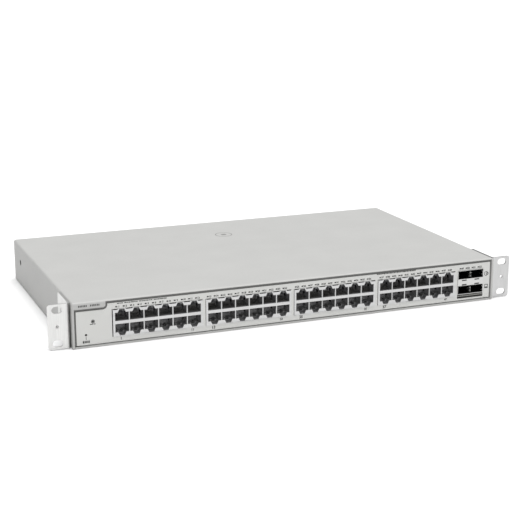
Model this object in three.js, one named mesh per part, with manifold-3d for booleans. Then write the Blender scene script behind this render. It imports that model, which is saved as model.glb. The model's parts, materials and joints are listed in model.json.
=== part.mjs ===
// A 1U rack-mount network switch: 48 twisted-pair jacks in four ganged blocks and four module cages,
// in a folded steel chassis with two bolt-on rack ears, two exhaust fans and a mains inlet at the rear.
// Millimetres, +Z up, +X to the right seen from the front, +Y from the front to the rear.
// Every piece is drawn with the front frame at y = 0; the group then moves the origin to the centre
// of the bounding box's underside.
import * as THREE from "three";
import { mergeVertices } from "three/addons/utils/BufferGeometryUtils.js";
import Module from "manifold-3d";

const wasm = await Module();
wasm.setup();

// ---- Driving dimensions -------------------------------------------------------------------------

const BODY_W = 440;
const BODY_H = 43.6; // one rack unit less its clearance
const BODY_D = 264; // front frame to the back of the cover
const HALF_W = BODY_W / 2;
const SHEET = 1.0; // chassis steel
const GAP = 0.3; // clearance between pieces that touch
const FAR = 400; // past every face, for cuts that go right through

// Front face: a narrow frame round a panel that stands in it with a groove all round.
const FRAME_SIDE = 2.0; // width of the frame's left and right strips
const FRAME_BOTTOM = 1.7; // height of the tray's hem below the panel
const LIP_Z = 42.3; // underside of the cover's front lip
const TAB_RIGHT = -188.4; // the cover's badge tab runs from the left corner to here
const TAB_Z = 37.0;
const TAB_R = 2.5;
const GROOVE_SIDE = 1.8; // groove's width left and right of the panel
const GROOVE_TOP = 2.4; // under the lip
const GROOVE_TAB = 2.3; // under the tab
const GROOVE_BOTTOM = 1.0;
const PANEL_Y = 0.5; // face of the port panel behind the frame
const PANEL_SKIRT = 4.0; // the panel's folded edges reach back to here
const PANEL_BACK = PANEL_Y + SHEET;
const PANEL_FOOT = { inset: 4, depth: 9 }; // flange that stands on the tray

// Cover
const COVER_BOTTOM = 0.5;
const COVER_BEND = 2.4; // outside radius along the sides
const LIP_BEND = 2.2; // outside radius along the front
const VENT = { y0: 96, pitch: 11, w: 4, columns: 12, rows: [[7, 20], [23.5, 36.5]], margin: 2 };

// Boards
const BOARD_Z = 5.6;
const BOARD_T = 1.6;
const BOARD_TOP = BOARD_Z + BOARD_T;
const ON_BOARD = BOARD_TOP + GAP; // underside of what stands on a board
const MAIN_BOARD = { x: 214, y0: 5.2, y1: 168 };
const BOARD_POSTS = [[-205, 60], [-100, 112], [0, 60], [100, 112], [205, 60], [-205, 160], [0, 160]];
const POST_R = 3.2;
const POST_HOLE_R = 1.7;

// Ganged jack blocks, six columns by two rows each
const JACK_BLOCKS = 4;
const JACK_COLUMNS = 6;
const JACK_PITCH = 14.0;
const JACK_WINDOW_W = 13.1;
const JACK_WINDOW_H = 7.95;
const JACK_BAR = 2.95; // metal bar between the rows
const JACK_MID_Z = 20.85;
const LATCH_H = 3.2; // notch for the plug's latch
const LATCH_BASE = 7.8;
const LATCH_TIP = 4.7;
const BLOCK_MARGIN = 2.0;
const BLOCK_PITCH = 90.2;
const BLOCK_W = (JACK_COLUMNS - 1) * JACK_PITCH + JACK_WINDOW_W + 2 * BLOCK_MARGIN;
const BLOCK_X = -181.85; // left side of the first block
const BLOCK_Z0 = BOARD_TOP + GAP;
const BLOCK_Z1 = 33.8;
const BLOCK_Y = 0.1;
const BLOCK_D = 26;
const SHIELD_T = 0.4;
const WINDOW_LEFT = [0.8, 0.35, 0.35, 0.4]; // panel's clearance left of each block
const WINDOW_RIGHT = 0.15;
const WINDOW_ABOVE = 0.2;
const WINDOW_BELOW = 0.15;
const RELIEF = { w: 6.4, z: 33.05, d: 4 }; // cut in the shield's top edge between two notches
const CAVITY_W = 12.4;
const CAVITY_H = 7.5;
const CAVITY_D = 13;
const CAVITY_LATCH_H = 2.7;
const MOUTH_D = 4.5; // the notch is full size at the mouth, then a narrow channel
const CHANNEL_W = 3.6;
const CHANNEL_H = 1.6;

// Port indicators above the jacks, two to a column
const LED_W = 2.0;
const LED_H = 1.3;
const LED_Z = 35.9;
const LED_FIRST = [3.6, 1.9, 1.6, 2.3]; // first indicator's centre, from each block's left side
const MODULE_LED_FIRST = 2.6;
const LED_PITCH = JACK_PITCH / 2;
const LED_CLEARANCE = 0.15;
const PIPE_FRONT = PANEL_Y + 0.15;
const PIPE_T = 1.5; // thickness of the light guides' legs

// Module cage, two columns by two rows
const CAGE_X0 = 179.1;
const CAGE_W = 29.5;
const CAGE_WALL = 0.4;
const CAGE_Y = 0.1;
const CAGE_D = 47;
const CAGE_Z0 = 8.7;
const CAGE_Z1 = 33.9;
const CAGE_CELL_W = 14.1;
const CAGE_LOWER = [9.2, 17.7];
const CAGE_UPPER = [24.8, 33.4];
const CAGE_BAR_D = 12; // depth of the bar between the rows
const CAGE_WINDOW_Z0 = 4.4;
const CAGE_WINDOW_SIDE = 0.15;
const LATCH_SLOT = { w: 5.6, d: 6, z: [[18.1, 19.4], [22.8, 24.0]] }; // in the bar's face, two a column
const DIVIDER_SET_BACK = 5; // the walls between the columns stop short of the front
const GASKET_D = 3.6;
const CONNECTOR = { d: 7, side: 1.8, back: 2, half: 0.6 }; // with a slot for the module's edge

// Reset button and status indicator
const RESET = { x: -207.4, z: 12.1, hole: 1.15, pin: 0.9, collar: 1.3, collarD: 1, travel: 0.3 };
const SWITCH = { y: 6.5, w: 6, d: 4 }; // the tact switch behind the reset hole
const STATUS = { x: -200.5, z: 24.4, hole: 1.1, pipe: 0.9, end: 9 };

// Rack ears
const RACK_W = 482.6;
const EAR_T = 1.5;
const EAR_GAP = 0.6; // between an ear and the cover's side
const EAR_Y = 4.2;
const EAR_Z0 = 0.6;
const EAR_Z1 = 43.1;
const EAR_BACK = 46.5;
const EAR_R = 3.0; // outside of the fold
const EAR_CORNER = { front: 2, back: 3 };
const SLOT_X = 465.1 / 2;
const SLOT_RISE = 31.75 / 2;
const SLOT_W = 10;
const SLOT_H = 6.5;
const EAR_SCREW_Y = [17, 36];
const EAR_SCREW_Z = [10, 28];
const EAR_SCREW = { head: 3.5, shank: 2.0, length: 6.5, sink: 1.3 };
const EAR_SCREW_HOLE = 2.4; // through the cover and the tray
const EAR_PILOT_R = 1.5;

// Rear wall
const REAR_Y = BODY_D - SHEET - GAP - SHEET; // front of the rear panel
const REAR_OUT = REAR_Y + SHEET;
const COVER_TAB_X = [-207, 28, 207];
const COVER_TAB = { w: 16, h: 10, screwZ: BODY_H - 5.5, hole: 1.8 };
const SIDE_SCREW = { y: 232, z: 25.5, head: 3.0, rim: 0.7, hole: 3.3, shank: 1.5, length: 4, sink: 0.9 };
const SIDE_SCREW_INSET = 0.1; // its head sits below the cover's face
const PAN_SCREW = { head: 2.8, headH: 1.8, shank: 1.4, length: 5 };
const GROUND_SCREW = { x: 120, z: 13, hole: 2.3, head: 4.0, headH: 2.4, shank: 2.0, length: 6 };

// Fans
const FAN = 40;
const FAN_D = 20;
const FAN_X = [-176, -132];
const FAN_Z = 1.5 + FAN / 2;
const FAN_Y1 = REAR_Y - GAP;
const FAN_Y0 = FAN_Y1 - FAN_D;
const FAN_BORE = 18.9; // radius
const FAN_HOLES = [-16, 16];
const FAN_HOLE_R = 1.6;
const FAN_CORNER = 2.5;
const STRUT = { w: 2, angles: [53, 143, 233, 323] };
const HUB_R = 8.5;
const HUB_GAP = 0.6;
const MOTOR_D = 4;
const SHAFT_R = 1.5;
const BEARING_R = SHAFT_R + 0.1;
const BLADE = { count: 7, tip: 18.2, chord: 11, thickness: 1.1, pitch: 38 };
const GRILLE = { pitch: 5.9, r: 2.7 };

// Mains inlet and power supply
const INLET = { x: 160, z: 22, w: 27, h: 20, flangeW: 31, flangeH: 25, depth: 18, pinSink: 6 };
const INLET_FLANGE_T = 2.0;
const INLET_FACE = REAR_OUT + GAP + INLET_FLANGE_T;
const INLET_CORNER = 2.5;
const INLET_RECESS = { u: 12.3, v: 8.3, cut: 3.5, floor: 2.5 }; // half width, half height, corners cut off
const INLET_PINS = [
  [INLET.x - 7, INLET.z - 2],
  [INLET.x, INLET.z + 2],
  [INLET.x + 7, INLET.z - 2],
];
const INLET_PIN_W = 2;
const INLET_PIN_H = 4;
const PSU = { x0: 108, x1: 213, y0: 174, y1: 240 };
const PSU_POST_INSET = 6;
const PSU_POSTS = [
  [PSU.x0 + PSU_POST_INSET, PSU.y0 + PSU_POST_INSET],
  [PSU.x1 - PSU_POST_INSET, PSU.y0 + PSU_POST_INSET],
  [PSU.x0 + PSU_POST_INSET, PSU.y1 - PSU_POST_INSET],
  [PSU.x1 - PSU_POST_INSET, PSU.y1 - PSU_POST_INSET],
];
const INSULATOR = { z0: 2.4, z1: 2.8 };

// Parts on the boards
const CHIP = { w: 36, y: 110, h: 2.4 };
const CHIP_SINK = { w: 48, h: 20, fins: 10 };
const PHY_SINK = { x0: -128, x1: -68, y0: 60, y1: 84, h: 14, fins: 10 };
const PSU_SINK = { x0: 116, x1: 136, y0: 184, y1: 230, h: 26, fins: 4 };
const SINK_BASE = 3;
const TRANSFORMER = { x: 161, y: 203, w: 30, d: 26, yoke: 6, h: 24, coil: 10 };
const CAPACITOR = { x: 194, y: 200, r: 10.5, h: 30 };

// ---- Solids -------------------------------------------------------------------------------------

const AXES = {
  x: new THREE.Matrix4().makeBasis(
    new THREE.Vector3(0, 1, 0),
    new THREE.Vector3(0, 0, 1),
    new THREE.Vector3(1, 0, 0),
  ),
  y: new THREE.Matrix4().makeBasis(
    new THREE.Vector3(1, 0, 0),
    new THREE.Vector3(0, 0, 1),
    new THREE.Vector3(0, -1, 0),
  ),
  z: new THREE.Matrix4(),
};

// A closed three.js geometry as a solid, its shared vertices merged and empty triangles dropped.
function solid(geometry) {
  const bare = new THREE.BufferGeometry();
  bare.setAttribute("position", geometry.getAttribute("position"));
  if (geometry.index) bare.setIndex(geometry.index);
  const merged = mergeVertices(bare, 1e-4);
  const triangles = [];
  for (let i = 0; i < merged.index.count; i += 3) {
    const [a, b, c] = merged.index.array.slice(i, i + 3);
    if (a !== b && b !== c && a !== c) triangles.push(a, b, c);
  }
  return new wasm.Manifold(
    new wasm.Mesh({
      numProp: 3,
      vertProperties: merged.attributes.position.array,
      triVerts: new Uint32Array(triangles),
    }),
  );
}

function block(x0, x1, y0, y1, z0, z1) {
  const g = new THREE.BoxGeometry(x1 - x0, y1 - y0, z1 - z0);
  return solid(g.translate((x0 + x1) / 2, (y0 + y1) / 2, (z0 + z1) / 2));
}

// A shape extruded from a to b along an axis: drawn in (y, z) for x, in (x, z) for y, in (x, y) for z.
function prism(axis, shape, a, b, curveSegments = 2) {
  const g = new THREE.ExtrudeGeometry(shape, {
    depth: b - a,
    bevelEnabled: false,
    curveSegments,
  });
  g.applyMatrix4(AXES[axis]);
  const shift = { x: [a, 0, 0], y: [0, b, 0], z: [0, 0, a] }[axis];
  return solid(g.translate(...shift));
}

function roundRect(u0, u1, v0, v1, r) {
  const s = new THREE.Shape();
  s.moveTo(u0 + r, v0);
  s.lineTo(u1 - r, v0);
  s.absarc(u1 - r, v0 + r, r, -Math.PI / 2, 0, false);
  s.lineTo(u1, v1 - r);
  s.absarc(u1 - r, v1 - r, r, 0, Math.PI / 2, false);
  s.lineTo(u0 + r, v1);
  s.absarc(u0 + r, v1 - r, r, Math.PI / 2, Math.PI, false);
  s.lineTo(u0, v0 + r);
  s.absarc(u0 + r, v0 + r, r, Math.PI, 1.5 * Math.PI, false);
  return s;
}

function polygon(points) {
  return new THREE.Shape(points.map(([u, v]) => new THREE.Vector2(u, v)));
}

// A cylinder, or a cone with two radii, from a to b along an axis through (u, v).
function rod(axis, u, v, a, b, r, sides = 12, rEnd = r) {
  const g = new THREE.CylinderGeometry(rEnd, r, b - a, sides);
  g.translate(0, (a + b) / 2, 0);
  if (axis === "x") g.rotateZ(-Math.PI / 2).translate(0, u, v);
  if (axis === "y") g.translate(u, 0, v);
  if (axis === "z") g.rotateX(Math.PI / 2).translate(u, v, 0);
  return solid(g);
}

function joined(parts) {
  return parts.reduce((whole, part) => whole.add(part));
}

function cut(whole, parts) {
  return parts.reduce((rest, part) => rest.subtract(part), whole);
}

// ---- Outlines -----------------------------------------------------------------------------------

// The port panel's outline: a rectangle with a step at top left that clears the cover's badge tab.
function panelOutline(inset) {
  const left = -HALF_W + FRAME_SIDE + GROOVE_SIDE + inset;
  const right = -left;
  const bottom = FRAME_BOTTOM + GROOVE_BOTTOM + inset;
  const top = LIP_Z - GROOVE_TOP - inset;
  const stepX = TAB_RIGHT + GROOVE_SIDE + inset;
  const stepZ = TAB_Z - GROOVE_TAB - inset;
  const r = TAB_R + GROOVE_SIDE + inset;
  const s = new THREE.Shape();
  s.moveTo(left, bottom);
  s.lineTo(right, bottom);
  s.lineTo(right, top);
  s.lineTo(stepX, top);
  s.lineTo(stepX, stepZ + r);
  s.absarc(stepX - r, stepZ + r, r, 0, -Math.PI / 2, true);
  s.lineTo(left, stepZ);
  return s;
}

// The opening in the cover's front, which leaves side strips, a thin lip along the top and the
// badge tab. It runs on down to bottom.
function frontOpening(bottom) {
  const inner = HALF_W - FRAME_SIDE;
  const s = new THREE.Shape();
  s.moveTo(-inner, bottom);
  s.lineTo(inner, bottom);
  s.lineTo(inner, LIP_Z);
  s.lineTo(TAB_RIGHT, LIP_Z);
  s.lineTo(TAB_RIGHT, TAB_Z + TAB_R);
  s.absarc(TAB_RIGHT - TAB_R, TAB_Z + TAB_R, TAB_R, 0, -Math.PI / 2, true);
  s.lineTo(-inner, TAB_Z);
  return s;
}

// A jack opening, main window and latch notch. flip is 1 for the upper row and -1 for the lower one.
function jackOutline(x, z, flip, w, h, latch) {
  const half = w / 2;
  const top = h + latch;
  return polygon(
    [
      [-half, 0],
      [half, 0],
      [half, h],
      [LATCH_BASE / 2, h],
      [LATCH_TIP / 2, top],
      [-LATCH_TIP / 2, top],
      [-LATCH_BASE / 2, h],
      [-half, h],
    ].map(([u, v]) => [x + u, z + flip * v]),
  );
}

// Calls make(x, z, flip) for each of a block's twelve jacks; z is the edge nearest the middle bar.
function eachJack(make) {
  const made = [];
  for (let column = 0; column < JACK_COLUMNS; column++) {
    const x = BLOCK_MARGIN + JACK_WINDOW_W / 2 + column * JACK_PITCH;
    for (const flip of [1, -1]) made.push(make(x, JACK_MID_Z + (flip * JACK_BAR) / 2, flip));
  }
  return made;
}

function ledCentres(count, first) {
  return Array.from({ length: count }, (_, i) => first + i * LED_PITCH);
}

// ---- Chassis ------------------------------------------------------------------------------------

function ventSlots() {
  const slots = [];
  for (let i = 0; i < VENT.columns; i++) {
    const y = VENT.y0 + i * VENT.pitch;
    for (const [z0, z1] of VENT.rows) slots.push(block(HALF_W - 2, HALF_W + 2, y, y + VENT.w, z0, z1));
  }
  return slots;
}

function earScrewHoles(x0, x1, r) {
  return EAR_SCREW_Y.flatMap((y) => EAR_SCREW_Z.map((z) => rod("x", y, z, x0, x1, r, 10)));
}

function topCover() {
  const under = -2 * COVER_BEND; // the drawn section runs on below the floor, then is cut off
  const outer = prism("y", roundRect(-HALF_W, HALF_W, under, BODY_H, COVER_BEND), 0, BODY_D);
  const inX = HALF_W - SHEET;
  const inner = roundRect(-inX, inX, under, BODY_H - SHEET, COVER_BEND - SHEET);
  const room = prism("y", inner, SHEET, BODY_D + 1);
  const opening = prism("y", frontOpening(2 * under), -1, SHEET + 1, 3);
  const shell = cut(outer, [room, opening]);
  const tabHalf = COVER_TAB.w / 2;
  const tabs = COVER_TAB_X.map((x) =>
    block(x - tabHalf, x + tabHalf, BODY_D - SHEET, BODY_D, BODY_H - COVER_TAB.h, BODY_H - SHEET / 2),
  );
  const foldedFront = prism("x", roundRect(0, FAR, under, BODY_H, LIP_BEND), -FAR, FAR);
  const body = joined([shell.intersect(foldedFront), ...tabs]);
  const tabHoles = COVER_TAB_X.map((x) =>
    rod("y", x, COVER_TAB.screwZ, BODY_D - 2 * SHEET, BODY_D + 1, COVER_TAB.hole, 10),
  );
  const sideHoles = [rod("x", SIDE_SCREW.y, SIDE_SCREW.z, -FAR, FAR, SIDE_SCREW.hole, 12)];
  const below = block(-FAR, FAR, -1, FAR, -FAR, COVER_BOTTOM);
  return cut(body, [
    below,
    ...tabHoles,
    ...sideHoles,
    ...earScrewHoles(-FAR, FAR, EAR_SCREW_HOLE),
    ...ventSlots(),
  ]);
}

function baseTray() {
  const outX = HALF_W - SHEET - GAP;
  const inX = outX - SHEET;
  const wallTop = BODY_H - COVER_BEND;
  const walls = block(-outX, outX, SHEET + GAP, REAR_Y - GAP, 0, wallTop);
  const room = block(-inX, inX, 0, FAR, SHEET, FAR);
  const hemX = HALF_W - FRAME_SIDE - GAP;
  const floor = block(-hemX, hemX, 0, SHEET + GAP, 0, SHEET);
  const hem = block(-hemX, hemX, 0, SHEET, 0, FRAME_BOTTOM);
  const posts = [...BOARD_POSTS, ...PSU_POSTS].map(([x, y]) =>
    rod("z", x, y, SHEET / 2, BOARD_Z - GAP, POST_R, 8),
  );
  const ventWindow = block(
    inX - 1,
    outX + 1,
    VENT.y0 - VENT.margin,
    VENT.y0 + (VENT.columns - 1) * VENT.pitch + VENT.w + VENT.margin,
    VENT.rows[0][0] - VENT.margin,
    VENT.rows[1][1] + VENT.margin,
  );
  const sideHole = rod("x", SIDE_SCREW.y, SIDE_SCREW.z, -FAR, FAR, SIDE_SCREW.shank + GAP, 10);
  const shell = cut(walls, [room, ventWindow, sideHole, ...earScrewHoles(-FAR, FAR, EAR_SCREW_HOLE)]);
  return joined([shell, floor, hem, ...posts]);
}

function frontPanel() {
  const outside = prism("y", panelOutline(0), PANEL_Y, PANEL_SKIRT, 3);
  const hollow = prism("y", panelOutline(SHEET), PANEL_BACK, FAR, 3);
  const x = HALF_W - FRAME_SIDE - GROOVE_SIDE - PANEL_FOOT.inset;
  const footZ = SHEET + GAP;
  const webTop = FRAME_BOTTOM + GROOVE_BOTTOM + SHEET;
  const web = block(-x, x, PANEL_SKIRT - SHEET, PANEL_SKIRT, footZ, webTop);
  const foot = block(-x, x, PANEL_SKIRT - SHEET, PANEL_SKIRT + PANEL_FOOT.depth, footZ, footZ + SHEET);
  const windows = [];
  for (let i = 0; i < JACK_BLOCKS; i++) {
    const x0 = BLOCK_X + i * BLOCK_PITCH;
    windows.push(
      block(
        x0 - WINDOW_LEFT[i],
        x0 + BLOCK_W + WINDOW_RIGHT,
        -1,
        PANEL_BACK + 1,
        BLOCK_Z0 - WINDOW_BELOW,
        BLOCK_Z1 + WINDOW_ABOVE,
      ),
      ...ledCentres(2 * JACK_COLUMNS, x0 + LED_FIRST[i]).map(ledHole),
    );
  }
  const cageWindow = block(
    CAGE_X0 - CAGE_WINDOW_SIDE,
    CAGE_X0 + CAGE_W + CAGE_WINDOW_SIDE,
    -1,
    PANEL_BACK + 1,
    CAGE_WINDOW_Z0,
    CAGE_Z1 + CAGE_WINDOW_SIDE,
  );
  windows.push(cageWindow, ...ledCentres(4, CAGE_X0 + MODULE_LED_FIRST).map(ledHole));
  windows.push(rod("y", RESET.x, RESET.z, -1, PANEL_BACK + 1, RESET.hole, 12));
  windows.push(rod("y", STATUS.x, STATUS.z, -1, PANEL_BACK + 1, STATUS.hole, 12));
  return cut(joined([outside.subtract(hollow), web, foot]), windows);
}

function ledHole(x) {
  const u = LED_W / 2;
  const v = LED_H / 2;
  return block(x - u, x + u, -1, PANEL_BACK + 1, LED_Z - v, LED_Z + v);
}

// Honeycomb of holes in front of a fan's bore, for its exhaust.
function honeycomb(cx) {
  const { pitch, r } = GRILLE;
  const holes = [];
  const rowRise = (pitch * Math.sqrt(3)) / 2;
  const rows = Math.floor(FAN_BORE / rowRise);
  const columns = Math.ceil(FAN_BORE / pitch);
  for (let row = -rows; row <= rows; row++) {
    const shift = row % 2 === 0 ? 0 : pitch / 2;
    for (let i = -columns; i <= columns; i++) {
      const x = i * pitch + shift;
      const z = row * rowRise;
      if (Math.hypot(x, z) + r > FAN_BORE - GAP) continue;
      holes.push(rod("y", cx + x, FAN_Z + z, REAR_Y - 1, REAR_OUT + 1, r, 6));
    }
  }
  return holes;
}

function rearPanel() {
  const x = HALF_W - 2 * SHEET - 2 * GAP;
  const plate = block(-x, x, REAR_Y, REAR_OUT, SHEET + GAP, BODY_H - SHEET - GAP);
  const inlet = block(
    INLET.x - INLET.w / 2 - GAP,
    INLET.x + INLET.w / 2 + GAP,
    REAR_Y - 1,
    REAR_OUT + 1,
    INLET.z - INLET.h / 2 - GAP,
    INLET.z + INLET.h / 2 + GAP,
  );
  const screws = COVER_TAB_X.map((sx) =>
    rod("y", sx, COVER_TAB.screwZ, REAR_Y - 1, FAR, COVER_TAB.hole, 10),
  );
  const ground = rod("y", GROUND_SCREW.x, GROUND_SCREW.z, REAR_Y - 1, FAR, GROUND_SCREW.hole, 10);
  const grilles = FAN_X.flatMap(honeycomb);
  return cut(plate, [inlet, ...screws, ground, ...grilles]);
}

// ---- Rack ears and fasteners --------------------------------------------------------------------

// The right-hand ear; the left-hand one is its mirror image.
function rackEar() {
  const inner = HALF_W + EAR_GAP;
  const outer = inner + EAR_T;
  const foldIn = EAR_R - EAR_T;
  const tip = RACK_W / 2;
  const s = new THREE.Shape();
  s.moveTo(inner, EAR_BACK);
  s.lineTo(inner, EAR_Y + EAR_R);
  s.absarc(inner + EAR_R, EAR_Y + EAR_R, EAR_R, Math.PI, 1.5 * Math.PI, false);
  s.lineTo(tip, EAR_Y);
  s.lineTo(tip, EAR_Y + EAR_T);
  s.lineTo(outer + foldIn, EAR_Y + EAR_T);
  s.absarc(outer + foldIn, EAR_Y + EAR_R, foldIn, 1.5 * Math.PI, Math.PI, true);
  s.lineTo(outer, EAR_BACK);
  const folded = prism("z", s, EAR_Z0, EAR_Z1, 3);
  const flangeCorners = prism("y", roundRect(0, tip, EAR_Z0, EAR_Z1, EAR_CORNER.front), -FAR, FAR);
  const backCorners = prism("x", roundRect(-FAR, EAR_BACK, EAR_Z0, EAR_Z1, EAR_CORNER.back), -FAR, FAR);
  const middle = (EAR_Z0 + EAR_Z1) / 2;
  const slots = [-1, 1].map((side) => {
    const z = middle + side * SLOT_RISE;
    const r = SLOT_H / 2 - 0.01;
    const half = SLOT_W / 2;
    const outline = roundRect(SLOT_X - half, SLOT_X + half, z - SLOT_H / 2, z + SLOT_H / 2, r);
    return prism("y", outline, 0, EAR_Y + EAR_T + 1);
  });
  const pilot = rod("y", SLOT_X, middle, 0, EAR_Y + EAR_T + 1, EAR_PILOT_R, 12);
  const { head, shank, sink } = EAR_SCREW;
  const flare = (head - shank) / sink;
  const sinks = EAR_SCREW_Y.flatMap((y) =>
    EAR_SCREW_Z.flatMap((z) => [
      rod("x", y, z, outer - sink, outer + sink, shank + GAP, 12, head + GAP + flare * sink),
      rod("x", y, z, inner - 1, outer, shank + GAP, 12),
    ]),
  );
  return cut(folded.intersect(flangeCorners).intersect(backCorners), [...slots, pilot, ...sinks]);
}

// A screw turned about Y with its head at y = 0 and its shank running to -length, drawn as a profile.
function screw(profile, sides = 12) {
  const points = profile.map(([r, y]) => new THREE.Vector2(r, y));
  return solid(new THREE.LatheGeometry(points, sides));
}

function countersunkScrew() {
  const { head, shank, length, sink } = EAR_SCREW;
  return screw([[0, -length], [shank, -length], [shank, -sink], [head, 0], [0, 0]]);
}

function panScrew({ head, headH, shank, length }) {
  return screw([
    [0, -length],
    [shank, -length],
    [shank, 0],
    [head, 0],
    [head, headH * 0.6],
    [head * 0.75, headH],
    [0, headH],
  ]);
}

// ---- Jacks --------------------------------------------------------------------------------------

// Everything of a jack block is drawn from its left side at x = 0.
function jackShield() {
  const y1 = BLOCK_Y + BLOCK_D;
  const outside = block(0, BLOCK_W, BLOCK_Y, y1, BLOCK_Z0, BLOCK_Z1);
  const t = SHIELD_T;
  const hollow = block(t, BLOCK_W - t, BLOCK_Y + t, y1 - t, BLOCK_Z0 - 1, BLOCK_Z1 - t);
  const windows = eachJack((x, z, flip) =>
    prism("y", jackOutline(x, z, flip, JACK_WINDOW_W, JACK_WINDOW_H, LATCH_H), -1, BLOCK_Y + t + 0.1),
  );
  const reliefs = [];
  for (let i = 0; i <= JACK_COLUMNS; i++) {
    const x = BLOCK_W / 2 + (i - JACK_COLUMNS / 2) * JACK_PITCH;
    const x0 = Math.max(x - RELIEF.w / 2, t + 0.1);
    const x1 = Math.min(x + RELIEF.w / 2, BLOCK_W - t - 0.1);
    reliefs.push(block(x0, x1, -1, BLOCK_Y + RELIEF.d, RELIEF.z, BLOCK_Z1 + 1));
  }
  return cut(outside.subtract(hollow), [...windows, ...reliefs]);
}

function jackHousing() {
  const inset = SHIELD_T + GAP;
  const front = BLOCK_Y + inset;
  const body = block(
    inset,
    BLOCK_W - inset,
    front,
    BLOCK_Y + BLOCK_D - inset,
    BLOCK_Z0 + GAP,
    BLOCK_Z1 - inset,
  );
  const rise = (JACK_WINDOW_H - CAVITY_H) / 2;
  const back = front + CAVITY_D;
  const cavities = eachJack((x, z, flip) => {
    const near = z + flip * rise; // side of the cavity by the middle bar
    const far = near + flip * CAVITY_H;
    const tip = far + flip * CHANNEL_H;
    const half = CHANNEL_W / 2;
    const mouth = jackOutline(x, near, flip, CAVITY_W, CAVITY_H, CAVITY_LATCH_H);
    return joined([
      prism("y", mouth, -1, front + MOUTH_D),
      block(x - CAVITY_W / 2, x + CAVITY_W / 2, front, back, Math.min(near, far), Math.max(near, far)),
      block(x - half, x + half, front, back, Math.min(near, tip), Math.max(near, tip)),
    ]);
  });
  return cut(body, cavities);
}

// Clear plastic guide: a tip for each indicator from the one at first, a plate over the ports and a
// leg behind them, at legY, that comes down to the board.
function lightPipe(count, first, width, legY) {
  const u = LED_W / 2 - LED_CLEARANCE;
  const v = LED_H / 2 - LED_CLEARANCE;
  const [top, low] = [LED_Z + v, LED_Z - v];
  const [x0, x1] = [PIPE_T / 3, width - PIPE_T / 3];
  const tips = ledCentres(count, first).map((x) =>
    block(x - u, x + u, PIPE_FRONT, PANEL_SKIRT + 2, low, top),
  );
  const plate = block(x0, x1, PANEL_SKIRT + 1, legY + PIPE_T, low, top);
  const leg = block(x0, x1, legY, legY + PIPE_T, ON_BOARD, top);
  return joined([plate, leg, ...tips]);
}

// ---- Module cage --------------------------------------------------------------------------------

const cellX = (column) => CAGE_X0 + CAGE_WALL + column * (CAGE_W - 2 * CAGE_WALL - CAGE_CELL_W);

function moduleCage() {
  const y1 = CAGE_Y + CAGE_D;
  const outside = block(CAGE_X0, CAGE_X0 + CAGE_W, CAGE_Y, y1, CAGE_Z0, CAGE_Z1);
  const cuts = [];
  for (const column of [0, 1]) {
    const x0 = cellX(column);
    const middle = x0 + CAGE_CELL_W / 2;
    for (const [z0, z1] of [CAGE_LOWER, CAGE_UPPER]) {
      cuts.push(block(x0, x0 + CAGE_CELL_W, -1, y1 - CAGE_WALL, z0, z1));
    }
    const half = LATCH_SLOT.w / 2;
    for (const [z0, z1] of LATCH_SLOT.z) {
      cuts.push(block(middle - half, middle + half, -1, CAGE_Y + LATCH_SLOT.d, z0, z1));
    }
  }
  for (const [z0, z1] of [CAGE_LOWER, CAGE_UPPER]) {
    cuts.push(block(cellX(0) + 1, cellX(1) + 1, -1, CAGE_Y + DIVIDER_SET_BACK, z0, z1));
  }
  const between = block(
    CAGE_X0 + CAGE_WALL,
    CAGE_X0 + CAGE_W - CAGE_WALL,
    CAGE_Y + CAGE_BAR_D,
    FAR,
    CAGE_LOWER[1] + CAGE_WALL,
    CAGE_UPPER[0] - CAGE_WALL,
  );
  return cut(outside, [...cuts, between]);
}

// The edge connector at the back of each cage cell, drawn in the lower left cell.
function moduleConnector() {
  const x0 = cellX(0) + GAP;
  const x1 = cellX(0) + CAGE_CELL_W - GAP;
  const y1 = CAGE_Y + CAGE_D - CAGE_WALL - GAP;
  const [z0, z1] = CAGE_LOWER;
  const body = block(x0, x1, y1 - CONNECTOR.d, y1, z0 + GAP, z1 - GAP);
  const middle = (z0 + z1) / 2;
  const { side, back, half } = CONNECTOR;
  return body.subtract(block(x0 + side, x1 - side, 0, y1 - back, middle - half, middle + half));
}

function cageGasket() {
  return block(
    CAGE_X0 + GAP,
    CAGE_X0 + CAGE_W - GAP,
    PANEL_Y + GAP,
    PANEL_Y + GAP + GASKET_D,
    CAGE_WINDOW_Z0 + GAP,
    CAGE_Z0 - GAP,
  );
}

// ---- Controls -----------------------------------------------------------------------------------

// A pin that stands behind its hole in the panel, with a collar inside the switch.
function resetButton() {
  const end = SWITCH.y + 1.6;
  const pin = rod("y", RESET.x, RESET.z, PANEL_BACK + 0.6, end, RESET.pin, 12);
  return pin.add(rod("y", RESET.x, RESET.z, end - RESET.collarD, end, RESET.collar, 12));
}

function resetSwitch() {
  const { y, w, d } = SWITCH;
  const body = block(RESET.x - w / 2, RESET.x + w / 2, y, y + d, ON_BOARD, RESET.z + w / 2);
  const chamberEnd = y + 1.6 + RESET.travel + 0.1;
  return cut(body, [
    rod("y", RESET.x, RESET.z, 0, y + 1, RESET.pin + 0.2, 12),
    rod("y", RESET.x, RESET.z, y + GAP, chamberEnd, RESET.collar + GAP, 12),
  ]);
}

function statusPipe() {
  const tip = rod("y", STATUS.x, STATUS.z, PIPE_FRONT, STATUS.end, STATUS.pipe, 12);
  const w = STATUS.pipe;
  const leg = block(STATUS.x - w, STATUS.x + w, STATUS.end - 2 * w, STATUS.end, ON_BOARD, STATUS.z + w);
  return tip.add(leg);
}

// ---- Boards and what stands on them -------------------------------------------------------------

function board(x0, x1, y0, y1, posts) {
  const plate = block(x0, x1, y0, y1, BOARD_Z, BOARD_TOP);
  return cut(plate, posts.map(([x, y]) => rod("z", x, y, 0, FAR, POST_HOLE_R, 8)));
}

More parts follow.
